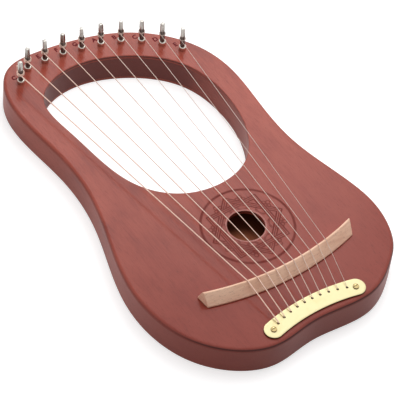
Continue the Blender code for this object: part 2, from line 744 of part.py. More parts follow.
def winding_points(index):
    """A straight lead, then turns that go down the pin clockwise, seen from above."""
    touch, heading, turn_radius = string_at_pin(index)
    radius = string_radius(index)
    pitch = 2.0 * radius + WINDING_GAP
    axis = pin_point(index, STRING_AT_PIN)
    start = math.atan2(touch.y - axis.y, touch.x - axis.x)
    points = [touch - string_slope(index) * (lead_length(index) - FIT)]
    for k in range(int(WINDING_TURNS * TURN_POINTS) + 1):
        share = k / TURN_POINTS
        angle = start - 2.0 * math.pi * share
        flat = Vector((turn_radius * math.cos(angle), turn_radius * math.sin(angle), -pitch * share))
        points.append(axis + PIN_TURN @ flat)
    return points


def least_gap(points, radius):
    """The least gap of a tube to itself, measured between points over a third of a turn apart."""
    places = np.array([tuple(point) for point in points])
    apart = TURN_POINTS // 3
    least = min(np.linalg.norm(places[i + apart:] - places[i], axis=1).min()
                for i in range(len(places) - apart))
    return least - 2.0 * radius


def string_points(index):
    """A string's route: up from its ball end, over the hole's edge, up to the bridge's ridge
    and on to its pin."""
    radius = string_radius(index)
    hole = tail_hole(index)
    socket_floor = BALL_BORE_DEPTH - FIT - BALL_SOCKET
    foot = Vector((hole[0], hole[1], socket_floor + FIT))
    corner = Vector((hole[0], hole[1], TAILPIECE_TOP_Z + 2.0 * radius + FIT))
    ridge = string_over_bridge(index)
    leave = (ridge - corner).normalized()
    points = [foot]
    for step in range(BEND_STEPS + 1):
        share = step / BEND_STEPS
        below = corner - Vector((0.0, 0.0, STRING_BEND)) * (1.0 - share) ** 2
        points.append(below + leave * (STRING_BEND * share ** 2))
    over = string_slope(index)
    points.append(ridge - leave * (STRING_BEND / 2.0))
    points.append(ridge + over * (STRING_BEND / 2.0))
    touch = string_at_pin(index)[0]
    points.append(touch - over * lead_length(index))
    return points


def make_strings():
    """Each string, its turns on the pin and its ball end."""
    gaps = []
    for index in range(STRING_COUNT):
        number = f"{index + 1:02d}"
        radius = string_radius(index)
        wire = winding_points(index)
        gaps.append(least_gap(wire[1:], radius))
        make_tube(f"string_winding_{number}", wire, radius, BRONZE)
        make_tube(f"string_{number}", string_points(index), radius, BRONZE)
    print(f"least gap of a winding to itself: {min(gaps) * 1000.0:.3f} mm")


def make_ball_end(index):
    """A turned brass ball end at the back, with a socket that holds the string's end."""
    high = BALL_BORE_DEPTH - FIT
    low = high - BALL_LENGTH
    edge = BALL_RADIUS / 4.0
    socket = string_radius(index) + FIT
    sizes = [(low, BALL_RADIUS - edge), (low + edge, BALL_RADIUS), (high - edge, BALL_RADIUS),
             (high, BALL_RADIUS - edge), (high, socket), (high - BALL_SOCKET, socket)]
    mesh = bmesh.new()
    loft(mesh, [circle(tail_hole(index), radius, height, SMALL_POINTS) for height, radius in sizes])
    finish(mesh, f"ball_end_{index + 1:02d}", BRASS, math.radians(50.0))


make_body_frame()
make_soundboard()
make_back_board()
make_bar("upper_bar", HOLE_MIDDLE[1] + SOUND_HOLE_RADIUS + BAR_TO_HOLE / 2.0)
make_bar("lower_bar", HOLE_MIDDLE[1] - SOUND_HOLE_RADIUS - BAR_TO_HOLE)
make_bridge()
make_tailpiece()
for screw_name, screw_place in zip(("tailpiece_screw_bass", "tailpiece_screw_treble"), screw_places()):
    make_screw(screw_name, screw_place)
make_pins()
make_strings()
for string_index in range(STRING_COUNT):
    make_collar(string_index)
    make_ball_end(string_index)
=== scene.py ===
"""Dresses the ten-string lyre harp that lies on its back, in the order it is put together."""

import math

import bpy
import bmesh
import numpy as np
from mathutils import Matrix, Vector
from mathutils.geometry import delaunay_2d_cdt


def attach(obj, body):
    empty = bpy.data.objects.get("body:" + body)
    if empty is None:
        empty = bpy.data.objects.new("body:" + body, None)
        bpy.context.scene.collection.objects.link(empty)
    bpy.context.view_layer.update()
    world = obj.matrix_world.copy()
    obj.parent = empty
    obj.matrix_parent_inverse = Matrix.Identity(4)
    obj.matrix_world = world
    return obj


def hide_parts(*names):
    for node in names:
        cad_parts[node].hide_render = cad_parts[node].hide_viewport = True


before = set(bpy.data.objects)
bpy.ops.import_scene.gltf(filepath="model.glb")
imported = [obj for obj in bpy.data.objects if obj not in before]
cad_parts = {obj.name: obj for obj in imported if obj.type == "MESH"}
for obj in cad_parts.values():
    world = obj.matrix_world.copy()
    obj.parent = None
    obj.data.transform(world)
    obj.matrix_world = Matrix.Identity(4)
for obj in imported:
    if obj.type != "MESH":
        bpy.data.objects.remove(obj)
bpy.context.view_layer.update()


# Camera. The photograph looks down on the harp from beyond its tail, on the bass side, with a
# long lens that is rolled a little.
AIM = Vector((-0.01203, -0.03255, 0.0320))
VIEW_TURN = math.radians(39.756)
VIEW_DROP = math.radians(49.637)
VIEW_ROLL = math.radians(6.370)
VIEW_DISTANCE = 2.12088
SENSOR_WIDTH = 36.0
LENS_PER_SENSOR = 5.853255


def placed(name, data):
    """A new object of the scene that holds this data."""
    made = bpy.data.objects.new(name, data)
    bpy.context.scene.collection.objects.link(made)
    return made


forward = Vector((math.sin(VIEW_TURN) * math.cos(VIEW_DROP),
                  math.cos(VIEW_TURN) * math.cos(VIEW_DROP), -math.sin(VIEW_DROP)))
level = forward.cross(Vector((0.0, 0.0, 1.0))).normalized()
above = level.cross(forward)
camera_right = level * math.cos(VIEW_ROLL) + above * math.sin(VIEW_ROLL)
camera_up = above * math.cos(VIEW_ROLL) - level * math.sin(VIEW_ROLL)
camera = placed("camera", bpy.data.cameras.new("camera"))
camera.data.sensor_width = SENSOR_WIDTH
camera.data.lens = SENSOR_WIDTH * LENS_PER_SENSOR
camera.matrix_world = (Matrix.Translation(AIM - forward * VIEW_DISTANCE)
                       @ Matrix((camera_right, camera_up, -forward)).transposed().to_4x4())
bpy.context.scene.camera = camera
bpy.context.scene.view_settings.view_transform = "Standard"


# Studio. A pale floor and air that show white to the camera and in metal, and four soft boxes:
# a large one over the treble side, a small one straight above, a weak one low on the bass side,
# and one beyond the head, the only one that metal and lacquer mirror.
FLOOR_REACH = 4.0
FLOOR_DROP = 0.0003
FLOOR_PALE = (0.60, 0.60, 0.60, 1.0)
FLOOR_PALER = (0.62, 0.62, 0.62, 1.0)
FLOOR_PATCHES = (0.5, 0.5, 0.5)
FLOOR_ROUGHNESS = 0.9
FLOOR_LIFT = (0.66, 0.66, 0.66, 1.0)
AIR_FILL = (0.18, 0.18, 0.18, 1.0)
BLACK = (0.0, 0.0, 0.0, 1.0)
WHITE = (1.0, 1.0, 1.0, 1.0)
SOFT_BOXES = {  # place, aim, width and height in metres, watts, and whether it is mirrored
    "side_lamp": ((0.56, 0.26, 0.78), (0.0, 0.0, 0.0), 1.2, 1.0, 7.0, False),
    "top_lamp": ((0.05, 0.05, 1.1), (0.05, 0.05, 0.0), 0.5, 0.5, 4.3, False),
    "bass_lamp": ((-1.15, 0.05, 0.40), (-0.1, -0.05, 0.0), 0.6, 0.6, 2.4, False),
    "sheen_lamp": ((0.82, 1.12, 1.30), (0.05, 0.15, 0.0), 0.8, 0.8, 3.8, True),
}


def operator(operation, swapped=False):
    """An operator of a value, alone or with a second value or number, in either order."""
    def apply(value, *others):
        inputs = (*others, value) if swapped else (value, *others)
        return value.finish.maths(operation, *inputs)
    return apply


class Value:
    """A material's socket, so that shader maths reads as arithmetic."""

    def __init__(self, finish, socket):
        self.finish = finish
        self.socket = socket

    def maths(self, operation, *others):
        """One step of arithmetic that has no sign of its own, such as a sine."""
        return self.finish.maths(operation, self, *others)

    __add__, __radd__ = operator("ADD"), operator("ADD", True)
    __sub__, __rsub__ = operator("SUBTRACT"), operator("SUBTRACT", True)
    __mul__, __rmul__ = operator("MULTIPLY"), operator("MULTIPLY", True)
    __truediv__, __mod__ = operator("DIVIDE"), operator("FLOORED_MODULO")
    __abs__ = operator("ABSOLUTE")


class Finish:
    """A procedural material in the making, with one method that adds any kind of node."""

    def __init__(self, name, node_tree=None):
        self.material = None if node_tree else bpy.data.materials.new(name)
        if self.material:
            self.material.use_nodes = True
        self.tree = node_tree or self.material.node_tree
        self.shader = self.tree.nodes.get("Principled BSDF")

    def feed(self, socket, value):
        """Links a value to a socket, or sets the socket to a number or colour."""
        if isinstance(value, Value):
            self.tree.links.new(value.socket, socket)
        else:
            socket.default_value = value

    def set(self, name, value):
        """Feeds one of the shader's own sockets."""
        self.feed(self.shader.inputs[name], value)

    def node(self, kind, settings, inputs, output=0):
        """A node of this kind: its settings first, then the values or links of its sockets."""
        made = self.tree.nodes.new(kind)
        for key, value in settings.items():
            setattr(made, key, value)
        for key, value in inputs.items():
            self.feed(made.inputs[key], value)
        return Value(self, made.outputs[output])

    def maths(self, operation, *inputs):
        """One step of arithmetic on up to three values."""
        return self.node("ShaderNodeMath", {"operation": operation}, dict(enumerate(inputs)))

    def place(self):
        """The point's own place on the object."""
        return self.node("ShaderNodeTexCoord", {}, {}, "Object")

    def facing(self):
        """The direction that the surface faces."""
        return self.node("ShaderNodeNewGeometry", {}, {}, "Normal")

    def axis(self, vector, name):
        """One coordinate of a place or a direction."""
        return self.node("ShaderNodeSeparateXYZ", {}, {0: vector}, name)

    def noise(self, place, stretch, detail=2.0, roughness=0.5):
        """Noise from 0 to 1 whose cells are 1 / stretch metres long on each axis."""
        scaled = self.node("ShaderNodeVectorMath", {"operation": "MULTIPLY"},
                           {0: place, 1: stretch})
        return self.node("ShaderNodeTexNoise", {},
                         {"Vector": scaled, "Scale": 1.0, "Detail": detail, "Roughness": roughness})

    def grain(self, place, stretch, roughness=0.6):
        """Noise with finer detail in it."""
        return self.noise(place, stretch, 3.0, roughness)

    def step(self, value, low, high):
        """0 below low and 1 above high, with a smooth rise between them."""
        return self.node("ShaderNodeMapRange", {"interpolation_type": "SMOOTHSTEP"},
                         {"Value": value, "From Min": low, "From Max": high})

    def blend(self, under, over, share):
        """A colour between two, by a share from 0 to 1."""
        return self.node("ShaderNodeMix", {"data_type": "RGBA"}, {0: share, 6: under, 7: over}, 2)

    def bump(self, height, distance, strength):
        """Relief from a height between 0 and 1, this many metres deep."""
        self.set("Normal", self.node("ShaderNodeBump", {}, {
            "Height": height, "Distance": distance, "Strength": strength}, "Normal"))


def varied(tone, middle, spread):
    """A value that goes up and down round its middle with a tone from 0 to 1."""
    return middle + (tone - 0.5) * spread


def linear(red, green, blue):
    """A colour as it looks on a screen, 0 to 255, as the linear colour that a shader takes."""
    shares = [channel / 255.0 for channel in (red, green, blue)]
    return (*[s / 12.92 if s <= 0.04045 else ((s + 0.055) / 1.055) ** 2.4 for s in shares], 1.0)


def shown_rays(finish):
    """1 for the rays that show a thing to the camera, in metal or through glass, 0 for light."""
    rays = [finish.node("ShaderNodeLightPath", {}, {}, name)
            for name in ("Is Camera Ray", "Is Glossy Ray", "Is Transmission Ray")]
    return (rays[0] + rays[1] + rays[2]).maths("MINIMUM", 1.0)


floor_finish = Finish("studio_floor")
floor_tint = floor_finish.noise(floor_finish.place(), FLOOR_PATCHES)
floor_finish.set("Base Color", floor_finish.blend(FLOOR_PALE, FLOOR_PALER, floor_tint))
floor_finish.set("Roughness", FLOOR_ROUGHNESS)
floor_finish.set("Specular IOR Level", 0.0)
floor_finish.set("Emission Color",
                 floor_finish.blend(BLACK, FLOOR_LIFT, shown_rays(floor_finish)))
floor_finish.set("Emission Strength", 1.0)
floor_mesh = bpy.data.meshes.new("studio_floor")
floor_mesh.from_pydata([(x * FLOOR_REACH, y * FLOOR_REACH, 0.0)
                        for x, y in ((-1, -1), (1, -1), (1, 1), (-1, 1))], [], [(0, 1, 2, 3)])
floor_mesh.materials.append(floor_finish.material)
floor = placed("studio_floor", floor_mesh)
floor.location.z = -FLOOR_DROP

for name, (place, aim, width, height, watts, mirrored) in SOFT_BOXES.items():
    light = bpy.data.lights.new(name, "AREA")
    light.shape = "RECTANGLE"
    light.size = width
    light.size_y = height
    light.energy = watts
    lamp = placed(name, light)
    lamp.location = place
    lamp.rotation_euler = (Vector(aim) - Vector(place)).to_track_quat("-Z", "Y").to_euler()
    lamp.visible_glossy = mirrored

world = bpy.data.worlds.new("studio")
world.use_nodes = True
bpy.context.scene.world = world
air = Finish("studio", world.node_tree)
air.feed(world.node_tree.nodes["Background"].inputs["Color"],
         air.blend(AIR_FILL, WHITE, shown_rays(air)))


# Body frame. The rim of the harp: head, arms, tail block and chamber walls, sawn from
# mahogany, stained red-brown and finished in satin lacquer, with bores for pins and strings.
TAIL_TO_HOLE = 0.1214
HOLE_TO_WINDOW = 0.054
WINDOW_LENGTH = 0.192
HEAD_RIM = 0.0352
TAIL_NOTCH = 0.004
BOUT_BASS = 0.1298
BOUT_TREBLE = 0.1158
TAIL_FOOT_BASS = 0.0595
TAIL_FOOT_TREBLE = 0.0510
WINDOW_WIDTH = 0.154
WINDOW_BASS = 0.078
ARM_BASS = 0.0209
ARM_TREBLE = 0.0219
BACK_Z = 0.003
TOP_Z = 0.028
FACE_Z = 0.032
SEAM = 0.00003
EDGE_LAND = 0.0008
SIDE_WALL = 0.0185
SILL_WALL = 0.014
TAIL_BLOCK = 0.040
CHAMBER_POWER = 2.8
STRING_COUNT = 10
PIN_INSET_BASS = 0.0166
PIN_INSET_TREBLE = 0.0124
PIN_FIRST_RISE = 0.0074
PIN_PITCH = 0.0193
PIN_RADIUS = 0.0023
PIN_GRIP = 0.018
PIN_LEAN = math.radians(4.5)
CLEAR = 0.0003
TAILPIECE_X = -0.0047
TAILPIECE_TO_TAIL = 0.0189
TAILPIECE_WIDTH = 0.0178
TAILPIECE_HALF_LENGTH = 0.0539
TAILPIECE_ARC = 0.190
TAIL_HOLE_SPACING = 0.00836
TAIL_HOLE_ARC = 0.108
TAIL_HOLE_TO_EDGE = 0.0042
STRING_BORE_RADIUS = 0.0012
BALL_BORE_RADIUS = 0.0027
BALL_BORE_DEPTH = 0.0062
SCREW_BORE_RADIUS = 0.0016
SCREW_PILOT_DEPTH = 0.0106
WINDOW_SHAPE = [
    (0.020, 0.635), (0.022, 0.885), (0.244, 0.996), (0.578, 0.958), (0.893, 0.770),
    (0.997, 0.523), (0.952, 0.238), (0.751, 0.038), (0.405, 0.018), (0.165, 0.155), (0.065, 0.357),
]
STAIN_LIGHT = linear(162, 76, 61)
STAIN_MID = linear(148, 65, 51)
STAIN_DARK = linear(128, 52, 42)
STAIN_PORE = linear(88, 32, 26)
WOOD_CLOUDS = (16.0, 7.0, 16.0)
WOOD_MOTTLES = (75.0, 22.0, 75.0)
WOOD_FIBRES = (900.0, 36.0, 900.0)
WOOD_PORES = (2300.0, 180.0, 2300.0)
WOOD_FIBRE_ROUGHNESS = 0.65
PORES_FROM = (0.60, 0.70)
WOOD_SHARES = (0.42, 0.32, 0.26)  # of the clouds, the mottles and the fibres
WOOD_TONES = (0.29, 0.69)
LIGHT_TONES = (0.30, 0.95)
TAIL_SHADE_REACH = (-0.17, 0.02)  # from full to none, along the harp
TAIL_SHADE_SHARE = 0.65
PORE_SHARE = 0.34
WOOD_ROUGHNESS = (0.5, 0.10)  # middle and spread, as for every roughness that varies
PORE_ROUGHNESS = 0.12
PORE_DEPTH = 0.7
FIBRE_DEPTH = 0.18
WOOD_RELIEF = (0.00012, 0.6)  # metres and strength, as for every relief
SIDE_ROUGHNESS = 0.42
SIDE_LACQUER = 0.42
BARE_GLOSS = 0.06
END_GRAIN_AND_SHADE = 0.75
END_FACING = (0.1, 0.5)
END_REACH = (0.05, 0.12)

tail_y = -TAIL_TO_HOLE
lintel_y = HOLE_TO_WINDOW + WINDOW_LENGTH
crown_y = lintel_y + HEAD_RIM
bass_x = -WINDOW_BASS - ARM_BASS
treble_x = WINDOW_WIDTH - WINDOW_BASS + ARM_TREBLE
BODY_STATIONS = [
    (-0.16 * TAIL_FOOT_BASS, tail_y + TAIL_NOTCH),
    (-TAIL_FOOT_BASS, tail_y + 0.12 * TAIL_NOTCH),
    (-0.873 * BOUT_BASS, 0.679 * tail_y),
    (-BOUT_BASS, 0.02 * tail_y),
    (1.081 * bass_x, 1.5 * HOLE_TO_WINDOW),
    (bass_x, HOLE_TO_WINDOW + 0.529 * WINDOW_LENGTH),
    (1.05 * bass_x, HOLE_TO_WINDOW + 0.945 * WINDOW_LENGTH),
    (0.848 * bass_x, crown_y - 0.17 * HEAD_RIM),
    (0.469 * bass_x, crown_y),
    (0.29 * treble_x, crown_y - 0.455 * HEAD_RIM),
    (0.801 * treble_x, HOLE_TO_WINDOW + 0.902 * WINDOW_LENGTH),
    (treble_x, HOLE_TO_WINDOW + 0.693 * WINDOW_LENGTH),
    (1.026 * treble_x, HOLE_TO_WINDOW + 0.458 * WINDOW_LENGTH),
    (treble_x, HOLE_TO_WINDOW + 0.036 * WINDOW_LENGTH),
    (BOUT_TREBLE, 0.26 * tail_y),
    (0.896 * BOUT_TREBLE, 0.67 * tail_y),
    (0.754 * BOUT_TREBLE, 0.815 * tail_y),
    (TAIL_FOOT_TREBLE, tail_y + 0.62 * TAIL_NOTCH),
]
WINDOW_STATIONS = [(x * WINDOW_WIDTH - WINDOW_BASS, HOLE_TO_WINDOW + y * WINDOW_LENGTH)
                   for x, y in WINDOW_SHAPE]


def closed_spline(stations, count):
    """A smooth closed curve through the stations: the periodic cubic whose parameter grows
    with the square root of each chord, read at even steps of that parameter."""
    points = np.array(stations)
    chords = np.roll(points, -1, axis=0) - points
    steps = np.sqrt(np.linalg.norm(chords, axis=1))
    before = np.roll(steps, 1)
    n = len(points)
    rows = np.arange(n)
    system = np.zeros((n, n))
    system[rows, rows - 1] = before
    system[rows, rows] = 2.0 * (before + steps)
    system[rows, (rows + 1) % n] = steps
    rise = chords / steps[:, None]
    bend = np.linalg.solve(system, 6.0 * (rise - np.roll(rise, 1, axis=0)))
    knots = np.concatenate([[0.0], np.cumsum(steps)])
    places = np.linspace(0.0, knots[-1], count, endpoint=False)
    span = np.minimum(np.searchsorted(knots, places, side="right") - 1, n - 1)
    ahead = (span + 1) % n
    step = steps[span][:, None]
    t = (places - knots[span])[:, None]
    s = step - t
    return (bend[span] * s ** 3 / (6.0 * step) + bend[ahead] * t ** 3 / (6.0 * step)
            + (points[span] / step - bend[span] * step / 6.0) * s
            + (points[ahead] / step - bend[ahead] * step / 6.0) * t)


coarse = closed_spline(BODY_STATIONS, 100)
MIDDLE = (coarse.min(axis=0) + coarse.max(axis=0)) / 2.0
body_outline = closed_spline(BODY_STATIONS, 520) - MIDDLE
window_outline = closed_spline(WINDOW_STATIONS, 300) - MIDDLE


def unit(vectors):
    """The same directions, one metre long."""
    return vectors / np.linalg.norm(vectors, axis=1)[:, None]


def inset(outline, distance):
    """The outline moved in along its own normals, or out where the distance is negative."""
    along = np.roll(outline, -1, axis=0) - np.roll(outline, 1, axis=0)
    normal = unit(np.stack([along[:, 1], -along[:, 0]], axis=1))
    x, y = outline.T
    turning = np.sum(x * np.roll(y, -1) - np.roll(x, -1) * y)
    return outline - normal * distance * np.sign(turning)


def rim(outline, low, high, low_round=0.0, high_round=0.0, steps=6):
    """Rows up a plate's edge: a narrow flat land, a quarter round, the wall, a quarter round
    and a land. A negative round belongs to an opening, whose edge falls back outwards."""
    rows = []
    for level, way, radius in ((low, 1, low_round), (high, -1, high_round)):
        edge = [(0.0, level)]
        if radius:
            edge = [(radius + math.copysign(EDGE_LAND, radius), level)]
            edge += [(radius * (1.0 - math.sin(t)), level + way * abs(radius) * (1.0 - math.cos(t)))
                     for t in np.linspace(0.0, math.pi / 2.0, steps + 1)]
        rows += edge[::way]
    return np.stack([np.column_stack([inset(outline, back), np.full(len(outline), z)])
                     for back, z in rows])


def full_turn(count):
    """Even angles once round."""
    return np.linspace(0.0, 2.0 * math.pi, count, endpoint=False)


def circle(x, y, radius, count=32):
    """Points round a circle in plan."""
    turn = full_turn(count)
    return np.stack([x + radius * np.cos(turn), y + radius * np.sin(turn)], axis=1)


def superellipse(half_x, half_y, power, count):
    """Both coordinates round a superellipse: cosine and sine, raised to two over the power."""
    turn = full_turn(count)
    return [half * np.sign(wave) * np.abs(wave) ** (2.0 / power)
            for half, wave in ((half_x, np.cos(turn)), (half_y, np.sin(turn)))]


def bore(place, levels, lean=0.0, count=24):
    """Rows up a bore or a turned shank: pairs of height and radius, whose middles lean towards
    the head by an angle."""
    return np.stack([np.column_stack([circle(place[0], place[1] + (z - FACE_Z) * math.tan(lean),
                                             radius, count), np.full(count, z)])
                     for z, radius in levels])


def bores(places, levels, lean=0.0):
    """The same bore at each place."""
    return [bore(place, levels, lean) for place in places]


def inside(points, rings):
    """Which points lie inside the rings, by counting the edges that a level ray crosses."""
    start = np.concatenate([ring[:, :2] for ring in rings])
    end = np.concatenate([np.roll(ring[:, :2], -1, axis=0) for ring in rings])
    x, y = points[:, :1], points[:, 1:2]
    above_start, above_end = start[:, 1] > y, end[:, 1] > y
    run = (y - start[:, 1]) / np.where(start[:, 1] == end[:, 1], 1.0, end[:, 1] - start[:, 1])
    crossed = (above_start != above_end) & (x < start[:, 0] + run * (end[:, 0] - start[:, 0]))
    return crossed.sum(axis=1) % 2 == 1


def cap(rings, numbers):
    """Triangles that fill the flat space within the rings, by the numbers of their points."""
    flat = np.concatenate([ring[:, :2] for ring in rings])
    edges, start = [], 0
    for ring in rings:
        here = start + np.arange(len(ring))
        edges += np.stack([here, np.roll(here, -1)], axis=1).tolist()
        start += len(ring)
    found = delaunay_2d_cdt([Vector(p) for p in flat.tolist()], edges, [], 0, 1e-9)
    origin = np.array([source[0] for source in found[3]])
    triangles = origin[np.array(found[2])]
    kept = inside(flat[triangles].mean(axis=1), rings)
    return np.concatenate(numbers)[triangles[kept]].tolist()


def outward(mesh, joined=False):
    """Turns a mesh's faces outwards, first joining the points that lie on each other if asked."""
    shell = bmesh.new()
    shell.from_mesh(mesh)
    if joined:
        bmesh.ops.remove_doubles(shell, verts=shell.verts, dist=0.000001)
    bmesh.ops.recalc_face_normals(shell, faces=shell.faces)
    shell.to_mesh(mesh)
    shell.free()


def piece(name, points, faces, finish, slot, body, *replaced, smooth=30.0, joined=False):
    """A finished piece: faces out, smooth but for its sharp edges, riding on its body."""
    mesh = bpy.data.meshes.new(name)
    mesh.from_pydata(points.reshape(-1, 3).tolist(), [], faces)
    outward(mesh)
    mesh.shade_smooth()
    mesh.set_sharp_from_angle(angle=math.radians(smooth))
    mesh.materials.append(finish.material)
    if joined:
        outward(mesh, True)
    made = placed(name, mesh)
    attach(made, body)
    if replaced:
        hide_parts(*replaced)
    return made


def quads(rows, count, start=0, closed=True):
    """Faces between neighbouring rows of a grid, run round to the first column if closed."""
    grid = start + np.arange(rows * count).reshape(rows, count)
    ahead = np.roll(grid, -1, axis=1)
    faces = np.stack([grid[:-1], ahead[:-1], ahead[1:], grid[1:]], axis=-1)
    return (faces if closed else faces[:, :-1]).reshape(-1, 4).tolist()


def plate(through, sunk=()):
    """A flat plate: rows of points up every edge that runs from its underside to its top, the
    outer edge first, and rows up every blind bore in its top."""
    grids = [*through, *sunk]
    faces, lows, highs, start = [], [], [], 0
    for rows in grids:
        height, count = rows.shape[:2]
        faces += quads(height, count, start)
        lows.append(start + np.arange(count))
        start += height * count
        highs.append(start - count + np.arange(count))
    faces += [floor.tolist() for floor in lows[len(through):]]
    faces += cap([rows[0] for rows in through], lows[:len(through)])
    faces += cap([rows[-1] for rows in grids], highs)
    return np.concatenate([rows.reshape(-1, 3) for rows in grids]), faces


def travelled(path):
    """How far each point of a path is along it."""
    return np.concatenate([[0.0], np.cumsum(np.linalg.norm(np.diff(path, axis=0), axis=1))])


def pin_row():
    """Where each pin meets the face: even steps along the head's outline, moved in, from the
    height of the first pin above the window. The row nears the rim to the treble."""
    fine = closed_spline(BODY_STATIONS, 800)
    line, edge = inset(fine, PIN_INSET_BASS), inset(fine, PIN_INSET_TREBLE)
    first = np.argmax(line[:, 1] >= lintel_y + PIN_FIRST_RISE)
    line, edge = np.roll(line, -first, axis=0), np.roll(edge, -first, axis=0)
    number = np.arange(STRING_COUNT)
    on_line, on_edge = [np.stack([np.interp(PIN_PITCH * number, travelled(line), side[:, k])
                                  for k in (0, 1)], axis=1) for side in (line, edge)]
    return on_line + (on_edge - on_line) * (number / (STRING_COUNT - 1))[:, None] - MIDDLE


def off_middle(x, middle_x, radius):
    """How far an arc of this radius has moved off its middle at x."""
    return radius - np.sqrt(radius ** 2 - (x - middle_x) ** 2)


def on_tail_arc(x, top, radius):
    """Points in plan at these x, on an arc that is highest at the tailpiece's middle."""
    return np.stack([x, top - off_middle(x, TAILPIECE_X, radius)], axis=1) - MIDDLE


pins = pin_row()
tailpiece_y = tail_y + TAILPIECE_TO_TAIL
string_number = np.arange(STRING_COUNT) - (STRING_COUNT - 1) / 2.0
tail_holes = on_tail_arc(TAILPIECE_X + string_number * TAIL_HOLE_SPACING,
                         tailpiece_y + TAILPIECE_WIDTH / 2.0 - TAIL_HOLE_TO_EDGE, TAIL_HOLE_ARC)
screw_reach = TAILPIECE_HALF_LENGTH - TAILPIECE_WIDTH / 2.0
screws = on_tail_arc(TAILPIECE_X + np.array([-1.0, 1.0]) * screw_reach, tailpiece_y,
                     TAILPIECE_ARC)


def chamber_outline():
    """The sound chamber: a superellipse between the side walls, the sill and the tail block."""
    low, high = tail_y + TAIL_BLOCK, HOLE_TO_WINDOW - SILL_WALL
    x, y = superellipse((BOUT_TREBLE + BOUT_BASS) / 2.0 - SIDE_WALL, (high - low) / 2.0,
                        CHAMBER_POWER, 160)
    middle = np.array([(BOUT_TREBLE - BOUT_BASS) / 2.0, (low + high) / 2.0])
    return np.stack([x, y], axis=1) + middle - MIDDLE


def stained_mahogany(name, roughness):
    """Mahogany under a red-brown stain and satin lacquer: broad clouds of tone, soft mottles,
    fine fibres along the grain, and short dark pores. The colour darkens towards the tail as
    painted shade. Returns the finish, its place, its colour and its relief, for a piece to add to."""
    finish = Finish(name)
    place = finish.place()
    clouds = finish.grain(place, WOOD_CLOUDS)
    mottles = finish.grain(place, WOOD_MOTTLES)
    fibres = finish.grain(place, WOOD_FIBRES, WOOD_FIBRE_ROUGHNESS)
    pores = finish.step(finish.noise(place, WOOD_PORES, 1.0), *PORES_FROM)
    tone = finish.step(clouds * WOOD_SHARES[0] + mottles * WOOD_SHARES[1]
                       + fibres * WOOD_SHARES[2], *WOOD_TONES)
    colour = finish.blend(STAIN_DARK, STAIN_MID, finish.step(tone, 0.0, 0.5))
    colour = finish.blend(colour, STAIN_LIGHT, finish.step(tone, *LIGHT_TONES))
    # Painted shade: the colour darkens towards the tail.
    tail_shade = 1.0 - finish.step(finish.axis(place, "Y"), *TAIL_SHADE_REACH)
    colour = finish.blend(colour, STAIN_DARK, tail_shade * TAIL_SHADE_SHARE)
    colour = finish.blend(colour, STAIN_PORE, pores * PORE_SHARE)
    finish.set("Roughness", varied(fibres, *WOOD_ROUGHNESS) + pores * PORE_ROUGHNESS)
    finish.set("Specular IOR Level", BARE_GLOSS)
    finish.set("Coat Roughness", roughness)
    return finish, place, colour, 1.0 - pores * PORE_DEPTH - fibres * FIBRE_DEPTH


frame_finish, frame_place, frame_colour, frame_relief = stained_mahogany(
    "stained_mahogany_frame", SIDE_ROUGHNESS)
# End grain and painted shade: faces in the head that look towards the tail, such as the window's
# inner wall there, are darkened.
end_grain_and_shade = (frame_finish.step(-1.0 * frame_finish.axis(frame_finish.facing(), "Y"), *END_FACING)
             * frame_finish.step(frame_finish.axis(frame_place, "Y"), *END_REACH))
frame_finish.set("Base Color",
                 frame_finish.blend(frame_colour, STAIN_PORE, end_grain_and_shade * END_GRAIN_AND_SHADE))
frame_finish.set("Coat Weight", SIDE_LACQUER)
frame_finish.bump(frame_relief, *WOOD_RELIEF)
frame_low, frame_high = BACK_Z + SEAM, TOP_Z - SEAM
string_bores = bores(tail_holes, [
    (frame_low, BALL_BORE_RADIUS), (BALL_BORE_DEPTH, BALL_BORE_RADIUS),
    (BALL_BORE_DEPTH, STRING_BORE_RADIUS), (frame_high, STRING_BORE_RADIUS)])
pin_bores = bores(pins, [(FACE_Z - PIN_GRIP - CLEAR, PIN_RADIUS + CLEAR),
                         (frame_high, PIN_RADIUS + CLEAR)], PIN_LEAN)
screw_bores = bores(screws, [(FACE_Z - SCREW_PILOT_DEPTH, SCREW_BORE_RADIUS),
                             (frame_high, SCREW_BORE_RADIUS)])
frame_edges = [rim(outline, frame_low, frame_high)
               for outline in (body_outline, window_outline, chamber_outline())]
piece("frame_shell", *plate([*frame_edges, *string_bores], [*pin_bores, *screw_bores]),
      frame_finish, "mahogany", "harp", "body_frame")


# Back board. A 3 mm mahogany panel glued under the frame. Its lower edge is rounded, its
# inner face is bare wood, and the ball ends sit in its ten holes.
BACK_ROUND = 0.0020
WINDOW_ROUND = 0.0008
BALL_BORE_CHAMFER = 0.0002
BARE_WOOD = linear(196, 120, 88)
BARE_WOOD_DARK = linear(160, 92, 64)
BARE_GRAIN = (700.0, 20.0, 700.0)
BARE_FROM = 0.0003
BARE_TO = 0.0001

back_finish, back_place, back_colour, back_relief = stained_mahogany(
    "stained_mahogany_back", SIDE_ROUGHNESS)
bare_grain = back_finish.grain(back_place, BARE_GRAIN)
bare = back_finish.step(back_finish.axis(back_place, "Z"), BACK_Z - BARE_FROM, BACK_Z - BARE_TO)
bare_colour = back_finish.blend(BARE_WOOD_DARK, BARE_WOOD, bare_grain)
back_finish.set("Base Color", back_finish.blend(back_colour, bare_colour, bare))
back_finish.set("Coat Weight", (1.0 - bare) * SIDE_LACQUER)
back_finish.bump(back_relief, *WOOD_RELIEF)
back_high = BACK_Z - SEAM
back_bores = bores(tail_holes, [(0.0, BALL_BORE_RADIUS + BALL_BORE_CHAMFER),
                                (BALL_BORE_CHAMFER, BALL_BORE_RADIUS),
                                (back_high, BALL_BORE_RADIUS)])
piece("back_panel", *plate([rim(body_outline, 0.0, back_high, BACK_ROUND, 0.0),
                            rim(window_outline, 0.0, back_high, -WINDOW_ROUND, 0.0), *back_bores]),
      back_finish, "mahogany", "harp", "back_board")
